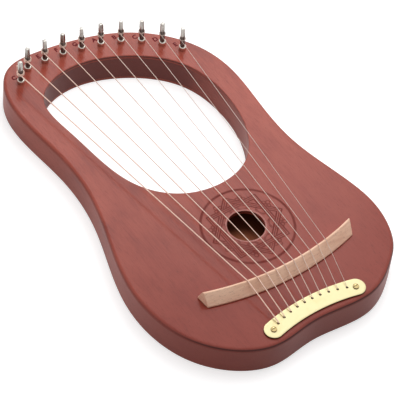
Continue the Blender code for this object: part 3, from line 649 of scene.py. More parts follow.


# Soundboard. A 4 mm mahogany top with a rounded rim, darkened by a little pooled stain and by
# painted shade, most on the tail side. A ring, two interlaced squares and small curls are burnt
# in round the sound hole, whose rim has a pale painted highlight.
FACE_ROUND = 0.0028
FACE_ROUGHNESS = 0.20
FACE_LACQUER = 0.62
SOUND_HOLE_RADIUS = 0.0174
SOUND_HOLE_X = -0.0011
SOUND_HOLE_Y = 0.0010
HOLE_ROUND = 0.0005
RING_RADIUS = 42.8  # the burnt lines and the pale rim are in millimetres
RING_CORE = 0.5
RING_EDGE = 1.9
BAND_LINES = ((26.9, 0.42), (24.9, 0.26), (22.9, 0.42))  # distance and half width of each line
BAND_MIDDLE = 24.9
BAND_HALF_WIDTH = 2.7
LINE_EDGE = 0.35
# Each circle: how far out and aside its middle is, its size, and its line's half width
CURLS = ((34.4, 0.0, 1.9, 0.34), (31.6, 2.9, 1.7, 0.34), (31.6, -2.9, 1.7, 0.34))
PETALS = ((25.0, 0.0, 6.4, 0.34), (25.0, 0.0, 5.2, 0.22))
PETALS_FROM = (18.8, 19.2)
PALE_REACH = (18.6, 19.1)
PALE_SHARE = 0.55
BURN_SHARES = {"squares": 0.85, "curls": 0.75, "petals": 0.7, "ring": 0.80}
BURN_DEPTH = 2.0
BURN_FADES = (60.0, 60.0, 60.0)
BURN_EVENNESS = (0.85, 0.6)
IN_MILLIMETRES = 1000.0
FACE_DEPTHS = (0.0009, 0.0003)  # depths under the face, from none to full
POOL_FOOT = (0.0026, 0.0020)
POOL_BROW = (0.0011, 0.0006)
ROUNDED_DEPTHS = (0.0022, 0.0001)
ROUNDED_WEAR = 0.6
TAIL_FACING = (0.20, 0.55)
POOL_AND_SHADE_SHARES = (0.12, 0.68)  # everywhere, and more on the tail side
BURNT = linear(88, 20, 16)
PAINTED_RIM_HIGHLIGHT = linear(190, 130, 122)
STAIN_POOL_AND_SHADE = linear(62, 16, 14)

rosette_x, rosette_y = -MIDDLE
hole_x, hole_y = rosette_x + SOUND_HOLE_X, rosette_y + SOUND_HOLE_Y


def distance(first, second):
    """The length of a run with these two parts."""
    return (first * first + second * second).maths("SQRT")


def most(*shares):
    """The greatest of several shares."""
    greatest = shares[0]
    for share in shares[1:]:
        greatest = greatest.maths("MAXIMUM", share)
    return greatest


def burnt_rosette(finish, place):
    """The share of burning at a point of the face, from distances in millimetres. Each square
    is the greatest of two distances, and the squares pass over each other by turns, one
    turn to each eighth of the circle. Circles are distances from a middle."""
    x = (finish.axis(place, "X") - rosette_x) * IN_MILLIMETRES
    y = (finish.axis(place, "Y") - rosette_y) * IN_MILLIMETRES
    radius = distance(x, y)
    angle = y.maths("ARCTAN2", x)
    eighth = math.pi / 4.0
    folded = (angle % eighth) - eighth / 2.0
    out = radius * folded.maths("COSINE")
    across = radius * folded.maths("SINE")

    def line(away, at, half_width):
        return 1.0 - finish.step(abs(away - at), half_width, half_width + LINE_EDGE)

    def circles(sizes):
        return most(*[line(distance(out - middle, across - side), size, half_width)
                      for middle, side, size, half_width in sizes])

    def band(away):
        return (most(*[line(away, at, half_width) for at, half_width in BAND_LINES]),
                line(away, BAND_MIDDLE, BAND_HALF_WIDTH))

    upright_lines, in_upright = band(most(abs(x), abs(y)))
    diamond_lines, in_diamond = band((abs(x) + abs(y)) * math.sqrt(0.5))
    turn = (angle / eighth).maths("FLOOR") % 2.0
    burns = {"squares": most(upright_lines * (1.0 - in_diamond * turn),
                             diamond_lines * (1.0 - in_upright * (1.0 - turn))),
             "curls": circles(CURLS),
             "petals": (circles(PETALS) * finish.step(radius, *PETALS_FROM)
                        * (1.0 - most(in_upright, in_diamond))),
             "ring": 1.0 - finish.step(abs(radius - RING_RADIUS), RING_CORE, RING_EDGE)}
    fades = varied(finish.noise(place, BURN_FADES), *BURN_EVENNESS)
    return most(*[burn * BURN_SHARES[name] for name, burn in burns.items()]) * fades


top_finish, top_place, top_colour, top_relief = stained_mahogany(
    "stained_mahogany_top", FACE_ROUGHNESS)
height = top_finish.axis(top_place, "Z")


def above_depths(deep, shallow):
    """0 below the first depth under the face and 1 above the second."""
    return top_finish.step(height, FACE_Z - deep, FACE_Z - shallow)


on_face = above_depths(*FACE_DEPTHS)
burnt = burnt_rosette(top_finish, top_place) * on_face
from_hole = distance(top_finish.axis(top_place, "X") - hole_x,
                     top_finish.axis(top_place, "Y") - hole_y) * IN_MILLIMETRES
# Painted highlight: a pale ring on the face just outside the sound hole's rounded edge.
pale = (1.0 - top_finish.step(from_hole, *PALE_REACH)) * on_face
top_colour = top_finish.blend(top_colour, BURNT, burnt)
top_colour = top_finish.blend(top_colour, PAINTED_RIM_HIGHLIGHT, pale * PALE_SHARE)
# Pooled stain and painted shade: the rounded rim is darkened, most where it faces the tail.
pooled_and_shaded = above_depths(*POOL_FOOT) * (1.0 - above_depths(*POOL_BROW))
to_tail = top_finish.step(-1.0 * top_finish.axis(top_finish.facing(), "Y"), *TAIL_FACING)
top_finish.set("Base Color", top_finish.blend(
    top_colour, STAIN_POOL_AND_SHADE, pooled_and_shaded * (POOL_AND_SHADE_SHARES[0] + to_tail * POOL_AND_SHADE_SHARES[1])))
rounded = 1.0 - above_depths(*ROUNDED_DEPTHS)
top_finish.set("Coat Weight", (1.0 - burnt) * (1.0 - rounded * ROUNDED_WEAR) * FACE_LACQUER)
top_finish.bump(top_relief - burnt * BURN_DEPTH, *WOOD_RELIEF)
top_low = TOP_Z + SEAM
top_bores = []
for places, radius, lean in ((tail_holes, STRING_BORE_RADIUS, 0.0),
                             (pins, PIN_RADIUS + CLEAR, PIN_LEAN),
                             (screws, SCREW_BORE_RADIUS, 0.0)):
    top_bores += bores(places, [(top_low, radius), (FACE_Z, radius)], lean)
top_edges = [rim(outline, top_low, FACE_Z, 0.0, roundness)
             for outline, roundness in ((body_outline, FACE_ROUND), (window_outline, -WINDOW_ROUND),
                                        (circle(hole_x, hole_y, SOUND_HOLE_RADIUS, 128),
                                         -HOLE_ROUND))]
piece("soundboard_panel", *plate([*top_edges, *top_bores]),
      top_finish, "mahogany", "harp", "soundboard")


# Bars. Two spruce strips glued across under the top, one on each side of the sound hole, keep
# the thin board flat. They are planed and left bare.
SPRUCE_PALE = linear(206, 170, 124)
SPRUCE_DARK = linear(166, 122, 78)
SPRUCE_GRAIN = (12.0, 900.0, 900.0)
SPRUCE_TONES = (0.42, 0.62)
SPRUCE_ROUGHNESS = (0.66, 0.2)
SPRUCE_RELIEF = (0.0001, 0.5)

bar_finish = Finish("bare_spruce")
bar_grain = bar_finish.grain(bar_finish.place(), SPRUCE_GRAIN)
bar_finish.set("Base Color", bar_finish.blend(SPRUCE_PALE, SPRUCE_DARK,
                                              bar_finish.step(bar_grain, *SPRUCE_TONES)))
bar_finish.set("Roughness", varied(bar_grain, *SPRUCE_ROUGHNESS))
bar_finish.bump(bar_grain, *SPRUCE_RELIEF)


def dress(node, finish):
    """Gives a node of the frame this finish in every material slot."""
    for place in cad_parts[node].material_slots:
        place.material = finish.material


dress("upper_bar", bar_finish)
dress("lower_bar", bar_finish)


# Note letters. The name of each string's note is stamped in dark red on the head, between its
# pin and the rim. They are plain letters, 4.8 mm tall.
NOTE_NAMES = "CDEFGABCDE"
NOTE_HEIGHT = 0.0048
CAPITAL_SHARE = 0.7  # of the type's size
NOTE_BOLD = 0.00022
NOTE_HALF_THICKNESS = 0.00003
NOTE_LIFT = 0.00002
NOTE_FROM_PIN = Vector((-0.0024, 0.0082, 0.0))
NOTE_INK = linear(82, 8, 20)
NOTE_INK_WORN = linear(108, 28, 34)
NOTE_WEAR = (1500.0, 1500.0, 1500.0)
NOTE_ROUGHNESS = (0.6, 0.3)
NOTE_CURVE_STEPS = 6

ink = Finish("stamped_ink")
ink_wear = ink.noise(ink.place(), NOTE_WEAR)
ink.set("Base Color", ink.blend(NOTE_INK, NOTE_INK_WORN, ink_wear))
ink.set("Roughness", varied(ink_wear, *NOTE_ROUGHNESS))
ink.set("Specular IOR Level", BARE_GLOSS)
for number, (note, foot) in enumerate(zip(NOTE_NAMES, pins), 1):
    curve = bpy.data.curves.new(f"note_{number:02d}", "FONT")
    curve.body = note
    curve.size = NOTE_HEIGHT / CAPITAL_SHARE
    curve.align_x = "CENTER"
    curve.align_y = "CENTER"
    curve.extrude = NOTE_HALF_THICKNESS
    curve.offset = NOTE_BOLD
    curve.resolution_u = NOTE_CURVE_STEPS
    written = placed(f"note_{number:02d}", curve)
    letter = bpy.data.meshes.new_from_object(written)
    bpy.data.objects.remove(written)
    letter.transform(Matrix.Translation(Vector((*foot, FACE_Z + NOTE_LIFT)) + NOTE_FROM_PIN))
    letter.materials.clear()
    letter.materials.append(ink.material)
    stamped = placed(f"note_{number:02d}", letter)
    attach(stamped, "harp")


# Bridge. A curved wedge of pale maple, held on the top by the strings alone. Its narrow ridge
# is filed with a shallow notch under each string, and its edges are sanded soft.
STRING_RADIUS_BASS = 0.00055
STRING_RADIUS_TREBLE = 0.00022
BRIDGE_X = -0.0035
BRIDGE_TO_HOLE = 0.0604
BRIDGE_HALF_LENGTH = 0.082
BRIDGE_ARC = 0.272
BRIDGE_HEIGHT = 0.011
BRIDGE_STEP = 0.0015
BRIDGE_RIDGE = 0.0016
BRIDGE_FRONT = 0.0095
BRIDGE_BACK = 0.0046
BRIDGE_END_SLOPE = 0.0015
BRIDGE_TREBLE_CUT = 0.0043
BRIDGE_BASS_CUT = 0.0013
BRIDGE_STRING_X = 0.0004
BRIDGE_STRING_SPACING = 0.00965
NOTCH_DEPTH = 0.0005
BRIDGE_ROUND = 0.0005
BRIDGE_STATIONS = 620
END_SHRINK = 0.06
SLOPE_FROM = 0.97  # of the half length, as the next
SLANT_FROM = 0.88
MAPLE = linear(250, 208, 180)
MAPLE_DARK = linear(236, 188, 160)
MAPLE_FLECK = linear(150, 108, 84)
MAPLE_GRAIN = (22.0, 520.0, 520.0)
MAPLE_CLOUDS = (30.0, 60.0, 60.0)
MAPLE_FLECKS = (260.0, 1500.0, 1500.0)
MAPLE_TONES = (0.40, 0.66)
MAPLE_SHARES = (0.6, 0.4)  # of the grain and the clouds
FLECKS_FROM = (0.64, 0.72)
FLECK_SHARE = 0.4
MAPLE_ROUGHNESS = (0.58, 0.15)
MAPLE_RELIEF = (0.00008, 0.5)
STRING_AT_PIN = 0.0144
PIN_AXIS = np.array([0.0, math.sin(PIN_LEAN), math.cos(PIN_LEAN)])

radii = np.linspace(STRING_RADIUS_BASS, STRING_RADIUS_TREBLE, STRING_COUNT)
crossing_x = BRIDGE_STRING_X + string_number * BRIDGE_STRING_SPACING
bends = np.stack([crossing_x - MIDDLE[0],
                  -BRIDGE_TO_HOLE + off_middle(crossing_x, BRIDGE_X, BRIDGE_ARC) - MIDDLE[1]
                  - BRIDGE_RIDGE / 2.0 - CLEAR,
                  FACE_Z + 2.0 * CLEAR + BRIDGE_HEIGHT - NOTCH_DEPTH + radii], axis=1)
turn_radii = PIN_RADIUS + CLEAR + radii
pin_feet = np.column_stack([pins, np.full(STRING_COUNT, FACE_Z)])
string_tops = pin_feet + PIN_AXIS * STRING_AT_PIN
runs = string_tops[:, :2] - bends[:, :2]
run_lengths = np.linalg.norm(runs, axis=1)
leans = np.arcsin(turn_radii / run_lengths)
ways = unit(runs)
headings = np.stack([ways[:, 0] * np.cos(leans) - ways[:, 1] * np.sin(leans),
                     ways[:, 0] * np.sin(leans) + ways[:, 1] * np.cos(leans)], axis=1)
free_lengths = np.sqrt(run_lengths ** 2 - turn_radii ** 2)
touches = np.column_stack([bends[:, :2] + headings * free_lengths[:, None], string_tops[:, 2]])


def parabolas(corners, before, after, steps):
    """A parabola round each corner, between the points at two offsets from the corner, which
    itself pulls on the middle."""
    t = np.linspace(0.0, 1.0, steps)[None, :, None]
    curve = corners[:, None] + before[:, None] * (1.0 - t) ** 2 + after[:, None] * t ** 2
    return curve.reshape(-1, corners.shape[1])


def soften(corners, reach):
    """A closed outline whose corners become parabolas of this reach, or of less than half a
    side where the side is short."""
    corners = np.array(corners)
    sides = [np.roll(corners, shift, axis=0) - corners for shift in (1, -1)]
    return parabolas(corners, *[
        unit(side) * np.minimum(reach, np.linalg.norm(side, axis=1)[:, None] * 0.45)
        for side in sides], 5)


def bridge_rows():
    """The bridge's rows: its section, softened and drawn in by a hair at both ends, carried
    along an arc in plan. Each end leans inwards as it rises, and is sawn at a slant that cuts
    back its front foot, the treble end the most. Above a string's groove, the surface drops
    to the groove, whose depth falls off as a circle does."""
    section = soften([(-BRIDGE_FRONT, 0.0), (-BRIDGE_FRONT, BRIDGE_STEP),
                      (-BRIDGE_RIDGE / 2.0, BRIDGE_HEIGHT), (BRIDGE_RIDGE / 2.0, BRIDGE_HEIGHT),
                      (BRIDGE_BACK, BRIDGE_STEP), (BRIDGE_BACK, 0.0)], BRIDGE_ROUND)
    turn = np.linspace(0.0, math.pi / 2.0, 5)[1:]
    run = np.linspace(-1.0, 1.0, BRIDGE_STATIONS) * (BRIDGE_HALF_LENGTH - BRIDGE_ROUND)
    ends = BRIDGE_HALF_LENGTH - BRIDGE_ROUND * (1.0 - np.sin(turn))
    along = np.concatenate([-ends[::-1], run, ends])
    rounding = 1.0 - np.cos(turn)
    drawn = np.concatenate([rounding[::-1], np.zeros(BRIDGE_STATIONS), rounding])
    middle = np.array([-1.5 * BRIDGE_ROUND, BRIDGE_HEIGHT * 0.4])
    ring = middle + (section[None] - middle) * (1.0 - drawn[:, None, None] * END_SHRINK)
    out, rise = ring[:, :, 0], np.maximum(ring[:, :, 1], 0.0)
    reached = np.abs(along) / BRIDGE_HALF_LENGTH
    lean = np.clip((reached - SLOPE_FROM) / (1.0 - SLOPE_FROM), 0.0, 1.0) * np.sign(along)
    slant = np.clip((reached - SLANT_FROM) / (1.0 - SLANT_FROM), 0.0, 1.0)
    slant = slant * np.where(along > 0.0, BRIDGE_TREBLE_CUT, -BRIDGE_BASS_CUT)
    x = (BRIDGE_X + along[:, None] - lean[:, None] * BRIDGE_END_SLOPE * rise / BRIDGE_HEIGHT
         - slant[:, None] * np.maximum(-out, 0.0) / BRIDGE_FRONT)
    y = -BRIDGE_TO_HOLE + off_middle(x, BRIDGE_X, BRIDGE_ARC) + out
    points = np.stack([x - MIDDLE[0], y - MIDDLE[1], FACE_Z + CLEAR + rise], axis=-1)
    gap = points[:, :, None, :2] - bends[None, None, :, :2]
    aside = np.abs(gap[..., 0] * headings[:, 1] - gap[..., 1] * headings[:, 0])
    groove = radii + CLEAR
    floor_z = bends[:, 2] - np.sqrt(np.maximum(groove ** 2 - aside ** 2, 0.0))
    floor_z = np.where(aside < groove, floor_z, 1.0).min(axis=-1)
    points[:, :, 2] = np.minimum(points[:, :, 2], floor_z)
    return points


def bar_faces(rows, count, start=0):
    """Faces of a closed bar: rows of points all round it, and a flat face at each end."""
    last = start + (rows - 1) * count
    return [*quads(rows, count, start), list(range(start, start + count)),
            list(range(last, last + count))]


maple = Finish("sanded_maple")
maple_place = maple.place()
maple_grain = maple.grain(maple_place, MAPLE_GRAIN)
maple_tone = (maple_grain * MAPLE_SHARES[0]
              + maple.noise(maple_place, MAPLE_CLOUDS) * MAPLE_SHARES[1])
flecks = maple.step(maple.noise(maple_place, MAPLE_FLECKS, 1.0), *FLECKS_FROM)
maple_colour = maple.blend(MAPLE, MAPLE_DARK, maple.step(maple_tone, *MAPLE_TONES))
maple.set("Base Color", maple.blend(maple_colour, MAPLE_FLECK, flecks * FLECK_SHARE))
maple.set("Roughness", varied(maple_grain, *MAPLE_ROUGHNESS))
maple.bump(maple_grain, *MAPLE_RELIEF)
wedge = bridge_rows()
piece("maple_bridge", wedge, bar_faces(*wedge.shape[:2]), maple, "maple", "harp", "bridge")


# Tailpiece. An arched brass plate with round ends and ten holes through which the strings
# pass down into the body. Its top is gilt and polished, and its upright edges and hole walls are
# darkened, as tarnish and painted shade.
TAILPIECE_THICKNESS = 0.0016
TAILPIECE_ROUND = 0.0004
TAIL_HOLE_RADIUS = 0.0010
TAIL_HOLE_CHAMFER = (0.0007, 0.0002)  # depth and width
GILT = (0.74, 0.66, 0.385, 1.0)
GILT_DEEP = (0.71, 0.61, 0.33, 1.0)
GILT_EDGE_TARNISH_AND_SHADE = (0.10, 0.05, 0.02, 1.0)
GILT_CLOUDS = (90.0, 90.0, 90.0)
GILT_RUBS = (160.0, 2600.0, 900.0)
RUB_RELIEF = (0.00001, 0.3)
GILT_TONES = (0.45, 0.8)
GILT_SIDES = (0.15, 0.6)
GILT_ROUGHNESS = (0.32, 0.16)
SIDE_DULLING = 0.2
BAND_STEPS = 90
END_STEPS = 40
plate_low = FACE_Z + CLEAR
plate_top = plate_low + TAILPIECE_THICKNESS


def tailpiece_band():
    """The plate's outline, clockwise: the upper arc, the treble end, the lower arc back and the
    bass end. The ends are half circles as wide as the band."""
    half_width = TAILPIECE_WIDTH / 2.0
    sweep = math.asin(screw_reach / TAILPIECE_ARC)
    centre = np.array([TAILPIECE_X, tailpiece_y - TAILPIECE_ARC]) - MIDDLE

    def arc(middle, radius, start, stop, steps):
        turn = np.linspace(start, stop, steps, endpoint=False)[:, None]
        return middle + radius * np.hstack([np.sin(turn), np.cos(turn)])

    ends = [centre + TAILPIECE_ARC * np.array([math.sin(side), math.cos(side)])
            for side in (-sweep, sweep)]
    return np.concatenate([
        arc(centre, TAILPIECE_ARC + half_width, -sweep, sweep, BAND_STEPS),
        arc(ends[1], half_width, sweep, sweep + math.pi, END_STEPS),
        arc(centre, TAILPIECE_ARC - half_width, sweep, -sweep, BAND_STEPS),
        arc(ends[0], half_width, math.pi - sweep, 2.0 * math.pi - sweep, END_STEPS)])


def upright_share(finish, low, high):
    """1 where a surface stands upright, 0 where it lies flat."""
    return 1.0 - finish.step(abs(finish.axis(finish.facing(), "Z")), low, high)


gilt = Finish("polished_gilt")
gilt_place = gilt.place()
gilt_cloud = gilt.grain(gilt_place, GILT_CLOUDS)
gilt_rub = gilt.noise(gilt_place, GILT_RUBS)
gilt_colour = gilt.blend(GILT, GILT_DEEP, gilt.step(gilt_cloud, *GILT_TONES))
# Tarnish and painted shade: upright edges and hole walls take a dark colour.
gilt_tarnish_and_shade = upright_share(gilt, *GILT_SIDES)
gilt.set("Base Color", gilt.blend(gilt_colour, GILT_EDGE_TARNISH_AND_SHADE, gilt_tarnish_and_shade))
gilt.set("Roughness", varied(gilt_rub, *GILT_ROUGHNESS) + gilt_tarnish_and_shade * SIDE_DULLING)
gilt.set("Metallic", 1.0)
gilt.bump(gilt_rub, *RUB_RELIEF)
hole_levels = [(plate_low, TAIL_HOLE_RADIUS), (plate_top - TAIL_HOLE_CHAMFER[0], TAIL_HOLE_RADIUS),
               (plate_top, TAIL_HOLE_RADIUS + TAIL_HOLE_CHAMFER[1])]
screw_levels = [(plate_low, SCREW_BORE_RADIUS), (plate_top, SCREW_BORE_RADIUS)]
piece("gilt_tailpiece",
      *plate([rim(tailpiece_band(), plate_low, plate_top, 0.0, TAILPIECE_ROUND, 4),
              *bores(tail_holes, hole_levels), *bores(screws, screw_levels)]),
      gilt, "gilt_plate", "harp", "tailpiece")


# Tailpiece screws. Two slotted brass screws with low round heads, driven into the tail block
# through the plate's ends.
SCREW_HEAD_RADIUS = 0.0029
SCREW_HEAD_HEIGHT = 0.0016
SCREW_SHANK_RADIUS = 0.0013
SCREW_TIP_RADIUS = 0.0006
SCREW_LENGTH = 0.012
SCREW_HALF_SLOT = 0.00035
SCREW_SLOT_DEPTH = 0.0009
SCREW_PLAIN = 0.003
SCREW_THREAD = 0.0011
SCREW_THREAD_DEPTH = 0.00025
SCREW_HEAD_LIFT = 0.00002
SCREW_BRASS = (0.84, 0.70, 0.36, 1.0)
SCREW_BRASS_DEEP = (0.66, 0.47, 0.20, 1.0)
BRASS_CLOUDS = (500.0, 500.0, 500.0)
BRASS_SIDES = (0.35, 0.75)
BRASS_ROUGHNESS = (0.22, 0.15)
seat = plate_top + CLEAR
tip = plate_top - SCREW_LENGTH


def screw_head(place, count=25):
    """A head: rows of points across the slot, each from rim to rim along it. The height is that
    of a flattened dome, and inside the slot at most the slot's floor."""
    side = SCREW_HEAD_RADIUS * np.sin(np.linspace(0.0, math.pi / 2.0, 12))
    side = side[side > SCREW_HALF_SLOT]
    half = SCREW_HALF_SLOT
    across = np.concatenate([-side[::-1], [-half, -half, 0.0, half, half], side])[:, None]
    chord = np.sqrt(np.maximum(SCREW_HEAD_RADIUS ** 2 - across ** 2, 0.0))
    x = chord * np.sin(np.linspace(-math.pi / 2.0, math.pi / 2.0, count))[None]
    share = np.maximum(1.0 - (x ** 2 + across ** 2) / SCREW_HEAD_RADIUS ** 2, 0.0)
    rise = SCREW_HEAD_HEIGHT * np.sqrt(share)
    slot = slice(len(side) + 1, len(side) + 4)
    rise[slot] = np.minimum(rise[slot], SCREW_HEAD_HEIGHT - SCREW_SLOT_DEPTH)
    y = np.broadcast_to(across, x.shape)
    return np.stack([x + place[0], y + place[1], seat + rise], axis=-1)


brass = Finish("gilt_screw_brass")
brass_tone = brass.noise(brass.place(), BRASS_CLOUDS)
brass_colour = brass.blend(SCREW_BRASS, SCREW_BRASS_DEEP, brass_tone)
# Painted shade: the steep sides of the screw heads take the dark edge colour.
brass.set("Base Color", brass.blend(brass_colour, GILT_EDGE_TARNISH_AND_SHADE, upright_share(brass, *BRASS_SIDES)))
brass.set("Roughness", varied(brass_tone, *BRASS_ROUGHNESS))
brass.set("Metallic", 1.0)
grooves = np.arange(seat - SCREW_PLAIN, tip + SCREW_SHANK_RADIUS, -SCREW_THREAD / 2.0)
thread = [(z, SCREW_SHANK_RADIUS - SCREW_THREAD_DEPTH * (k % 2)) for k, z in enumerate(grooves)]
for name, place in zip(("bass", "treble"), screws):
    head = screw_head(place)
    underside = head * (1.0, 1.0, 0.0) + (0.0, 0.0, seat)
    shank = bore(place, [(seat - SCREW_HEAD_LIFT, SCREW_SHANK_RADIUS), *thread,
                         (tip, SCREW_TIP_RADIUS)], count=32)
    rows, count = head.shape[:2]
    below = quads(rows, count, rows * count, False)
    piece(f"slotted_screw_{name}",
          np.concatenate([part.reshape(-1, 3) for part in (head, underside, shank)]),
          [*quads(rows, count, 0, False), *[face[::-1] for face in below],
           *bar_faces(*shank.shape[:2], 2 * rows * count)],
          brass, "brass", "harp", f"tailpiece_screw_{name}", smooth=40.0, joined=True)


# Tuning pins. Steel pins, nickel plated, driven into the head: round shafts under square heads
# that taper a little to a softened top. Each turns in its hole.
PIN_SHAFT_RISE = 0.0168
PIN_HEAD_LENGTH = 0.0095
PIN_HEAD_WIDTH = 0.0040
PIN_HEAD_TAPER = 0.0004
PIN_TIP = 0.0008
PIN_NECK = 0.0002
ROUND, EASED, NECK, SOFT, SQUARE = 2.0, 2.1, 3.6, 6.0, 8.0  # powers of a superellipse
PIN_TURN_STEP = math.radians(37.0)
NICKEL = (0.46, 0.44, 0.41, 1.0)
NICKEL_SHADE = (0.24, 0.22, 0.20, 1.0)
SHAFT_STEEL = (0.13, 0.11, 0.10, 1.0)
NICKEL_CLOUDS = (300.0, 300.0, 120.0)
NICKEL_RUBS = (3000.0, 3000.0, 260.0)
SHADE_TONES = (0.4, 0.75)
PIN_ROUGHNESS = 0.22
RUB_SPREAD = 0.12
DARK_STRETCH_ROUGHNESS = 0.10
DARK_STRETCH_FADES = (0.0002, 0.0003)  # below and above the dark stretch, bare steel and painted shade
pin_tilt = np.array(Matrix.Rotation(-PIN_LEAN, 3, "X"))


def pin_rows():
    """A pin, upright on its axis: superellipses whose half width and squareness change with
    height, from a bevelled round tip to a square head with a softened top."""
    half_head = PIN_HEAD_WIDTH / 2.0
    half_top = half_head - PIN_HEAD_TAPER / 2.0
    top = PIN_SHAFT_RISE + PIN_HEAD_LENGTH
    soft = PIN_TIP / 2.0
    sizes = [(-PIN_GRIP, 0.0, ROUND), (-PIN_GRIP, PIN_RADIUS - PIN_TIP, ROUND),
             (-PIN_GRIP + PIN_TIP, PIN_RADIUS, ROUND), (0.0, PIN_RADIUS, ROUND),
             (PIN_SHAFT_RISE - PIN_NECK, PIN_RADIUS, ROUND),
             (PIN_SHAFT_RISE, PIN_RADIUS - PIN_NECK * 0.5, EASED),
             (PIN_SHAFT_RISE + PIN_TIP * 0.6, half_head + PIN_NECK * 0.3, NECK),
             (PIN_SHAFT_RISE + PIN_TIP, half_head, SQUARE)]
    sizes += [(top - soft * (1.0 - math.sin(t)), half_top - soft * (1.0 - math.cos(t)), SQUARE)
              for t in np.linspace(0.0, math.pi / 2.0, 6)]
    sizes += [(top, (half_top - soft) * 0.5, SOFT), (top, 0.0, ROUND)]
    height, half, power = np.array(sizes).T[:, :, None]
    x, y = superellipse(half, half, power, 64)
    return np.stack([x, y, np.broadcast_to(height, x.shape)], axis=-1)


def plated(name, bright, shade, roughness, dark_from, dark_to):
    """Nickel plate with faint upright rub marks, dark between two heights as bare steel and painted
    shade.
    """
    finish = Finish(name)
    place = finish.place()
    cloud = finish.grain(place, NICKEL_CLOUDS)
    rub = finish.noise(place, NICKEL_RUBS)
    height = finish.axis(place, "Z")
    # Bare steel and painted shade: the shaft below the head is dark.
    dark_steel_and_shade = (finish.step(height, dark_from - DARK_STRETCH_FADES[0], dark_from)
            * (1.0 - finish.step(height, dark_to, dark_to + DARK_STRETCH_FADES[1])))
    colour = finish.blend(bright, shade, finish.step(cloud, *SHADE_TONES))
    finish.set("Base Color", finish.blend(colour, SHAFT_STEEL, dark_steel_and_shade))
    finish.set("Roughness", varied(rub, roughness, RUB_SPREAD) + dark_steel_and_shade * DARK_STRETCH_ROUGHNESS)
    finish.set("Metallic", 1.0)
    finish.bump(rub, *RUB_RELIEF)
    return finish


pin_plate = plated("nickel_plated_pin", NICKEL, NICKEL_SHADE, PIN_ROUGHNESS, 0.0,
                   FACE_Z + PIN_SHAFT_RISE)
upright_pin = pin_rows()
for index, foot in enumerate(pin_feet):
    turned = upright_pin @ np.array(Matrix.Rotation(PIN_TURN_STEP * index, 3, "Z")).T
    piece(f"square_pin_{index + 1:02d}", turned @ pin_tilt.T + foot, quads(*turned.shape[:2]),
          pin_plate, "nickel", f"pin_{index + 1:02d}", f"tuning_pin_{index + 1:02d}", joined=True)


# Pin collars. Small turned sleeves with domed rims, nickel plated, that stand on the face
# round each pin's foot. The bore leans with the pin.
COLLAR_RADIUS = 0.0035
COLLAR_HEIGHT = 0.0042
COLLAR_GAP = 0.00008
COLLAR_WALL_SHARE = 0.84  # of the height, under the dome
COLLAR_DOME_SHARE = 0.9  # of the wall's thickness
COLLAR_LIP_SHARE = 0.97  # of the height, at the bore
BRIGHT_NICKEL = (0.74, 0.67, 0.60, 1.0)
BRIGHT_SHADE = (0.44, 0.38, 0.33, 1.0)
COLLAR_ROUGHNESS = 0.12
NO_DARK_STRETCH = 1.0  # a height that no collar reaches


def collar_rows(place):
    """A collar: up the outside, over a dome whose section is a quarter ellipse, and down the
    bore. Each circle's middle moves with its height from the face's upright to the pin's lean,
    by how near the circle is to the bore."""
    turn = np.linspace(0.0, math.pi / 2.0, 9)
    bore_radius = PIN_RADIUS + COLLAR_GAP
    wall = COLLAR_RADIUS - bore_radius
    dome = COLLAR_RADIUS - wall * (1.0 - np.cos(turn)) * COLLAR_DOME_SHARE
    radius = np.concatenate([[bore_radius, COLLAR_RADIUS], dome, [bore_radius, bore_radius]])
    dome_rise = COLLAR_WALL_SHARE + (1.0 - COLLAR_WALL_SHARE) * np.sin(turn)
    rise = COLLAR_HEIGHT * np.concatenate([[0.0, 0.0], dome_rise, [COLLAR_LIP_SHARE, 0.0]])
    near = (COLLAR_RADIUS - radius) / wall
    shift = (rise + CLEAR) * math.tan(PIN_LEAN) * near
    ring = circle(0.0, 0.0, 1.0, 48)
    x = place[0] + radius[:, None] * ring[None, :, 0]
    y = place[1] + shift[:, None] + radius[:, None] * ring[None, :, 1]
    z = np.broadcast_to(FACE_Z + CLEAR + rise[:, None], x.shape)
    return np.stack([x, y, z], axis=-1)


collar_plate = plated("nickel_plated_collar", BRIGHT_NICKEL, BRIGHT_SHADE, COLLAR_ROUGHNESS,
                      NO_DARK_STRETCH, NO_DARK_STRETCH)
for number, place in enumerate(pins, 1):
    sleeve = collar_rows(place)
    piece(f"turned_collar_{number:02d}", sleeve, quads(*sleeve.shape[:2]), collar_plate, "nickel",
          "harp", f"pin_collar_{number:02d}", smooth=50.0, joined=True)


# Strings. Steel cores wound with fine bronze wire, thick in the bass and thin in the treble.
# Each rises through its hole, bends over the bridge and runs on to its pin.
BALL_SOCKET = 0.0022
STRING_BEND = 0.00075
BRONZE = np.array((0.89, 0.66, 0.56, 1.0))
BRONZE_PALE = np.array((0.68, 0.58, 0.53, 1.0))
BRONZE_GROOVE_SHADE = np.array((0.72, 0.62, 0.56, 1.0))  # times the colour: painted shade between the turns
BRONZE_CLOUDS = (60.0, 60.0, 60.0)
WOUND_PITCH = 0.00032
WOUND_SHARES = (0.7, 0.3)  # steady, and by the tone
WOUND_ROUGHNESS = (0.34, 0.2)
WOUND_METALLIC = 0.75
WOUND_RELIEF = (0.00004, 0.6)


def wire(path, radius, aside, sides=12):
    """Rows of a round wire along a path. Across each point stands a ring, whose first axis is
    the given direction less its part along the path, and whose second is square to both."""
    along = unit(np.gradient(path, axis=0))
    first = unit(aside - along * np.sum(aside * along, axis=1)[:, None])
    second = np.cross(along, first)
    turn = full_turn(sides)[None, :, None]
    return path[:, None] + radius * (first[:, None] * np.cos(turn) + second[:, None] * np.sin(turn))


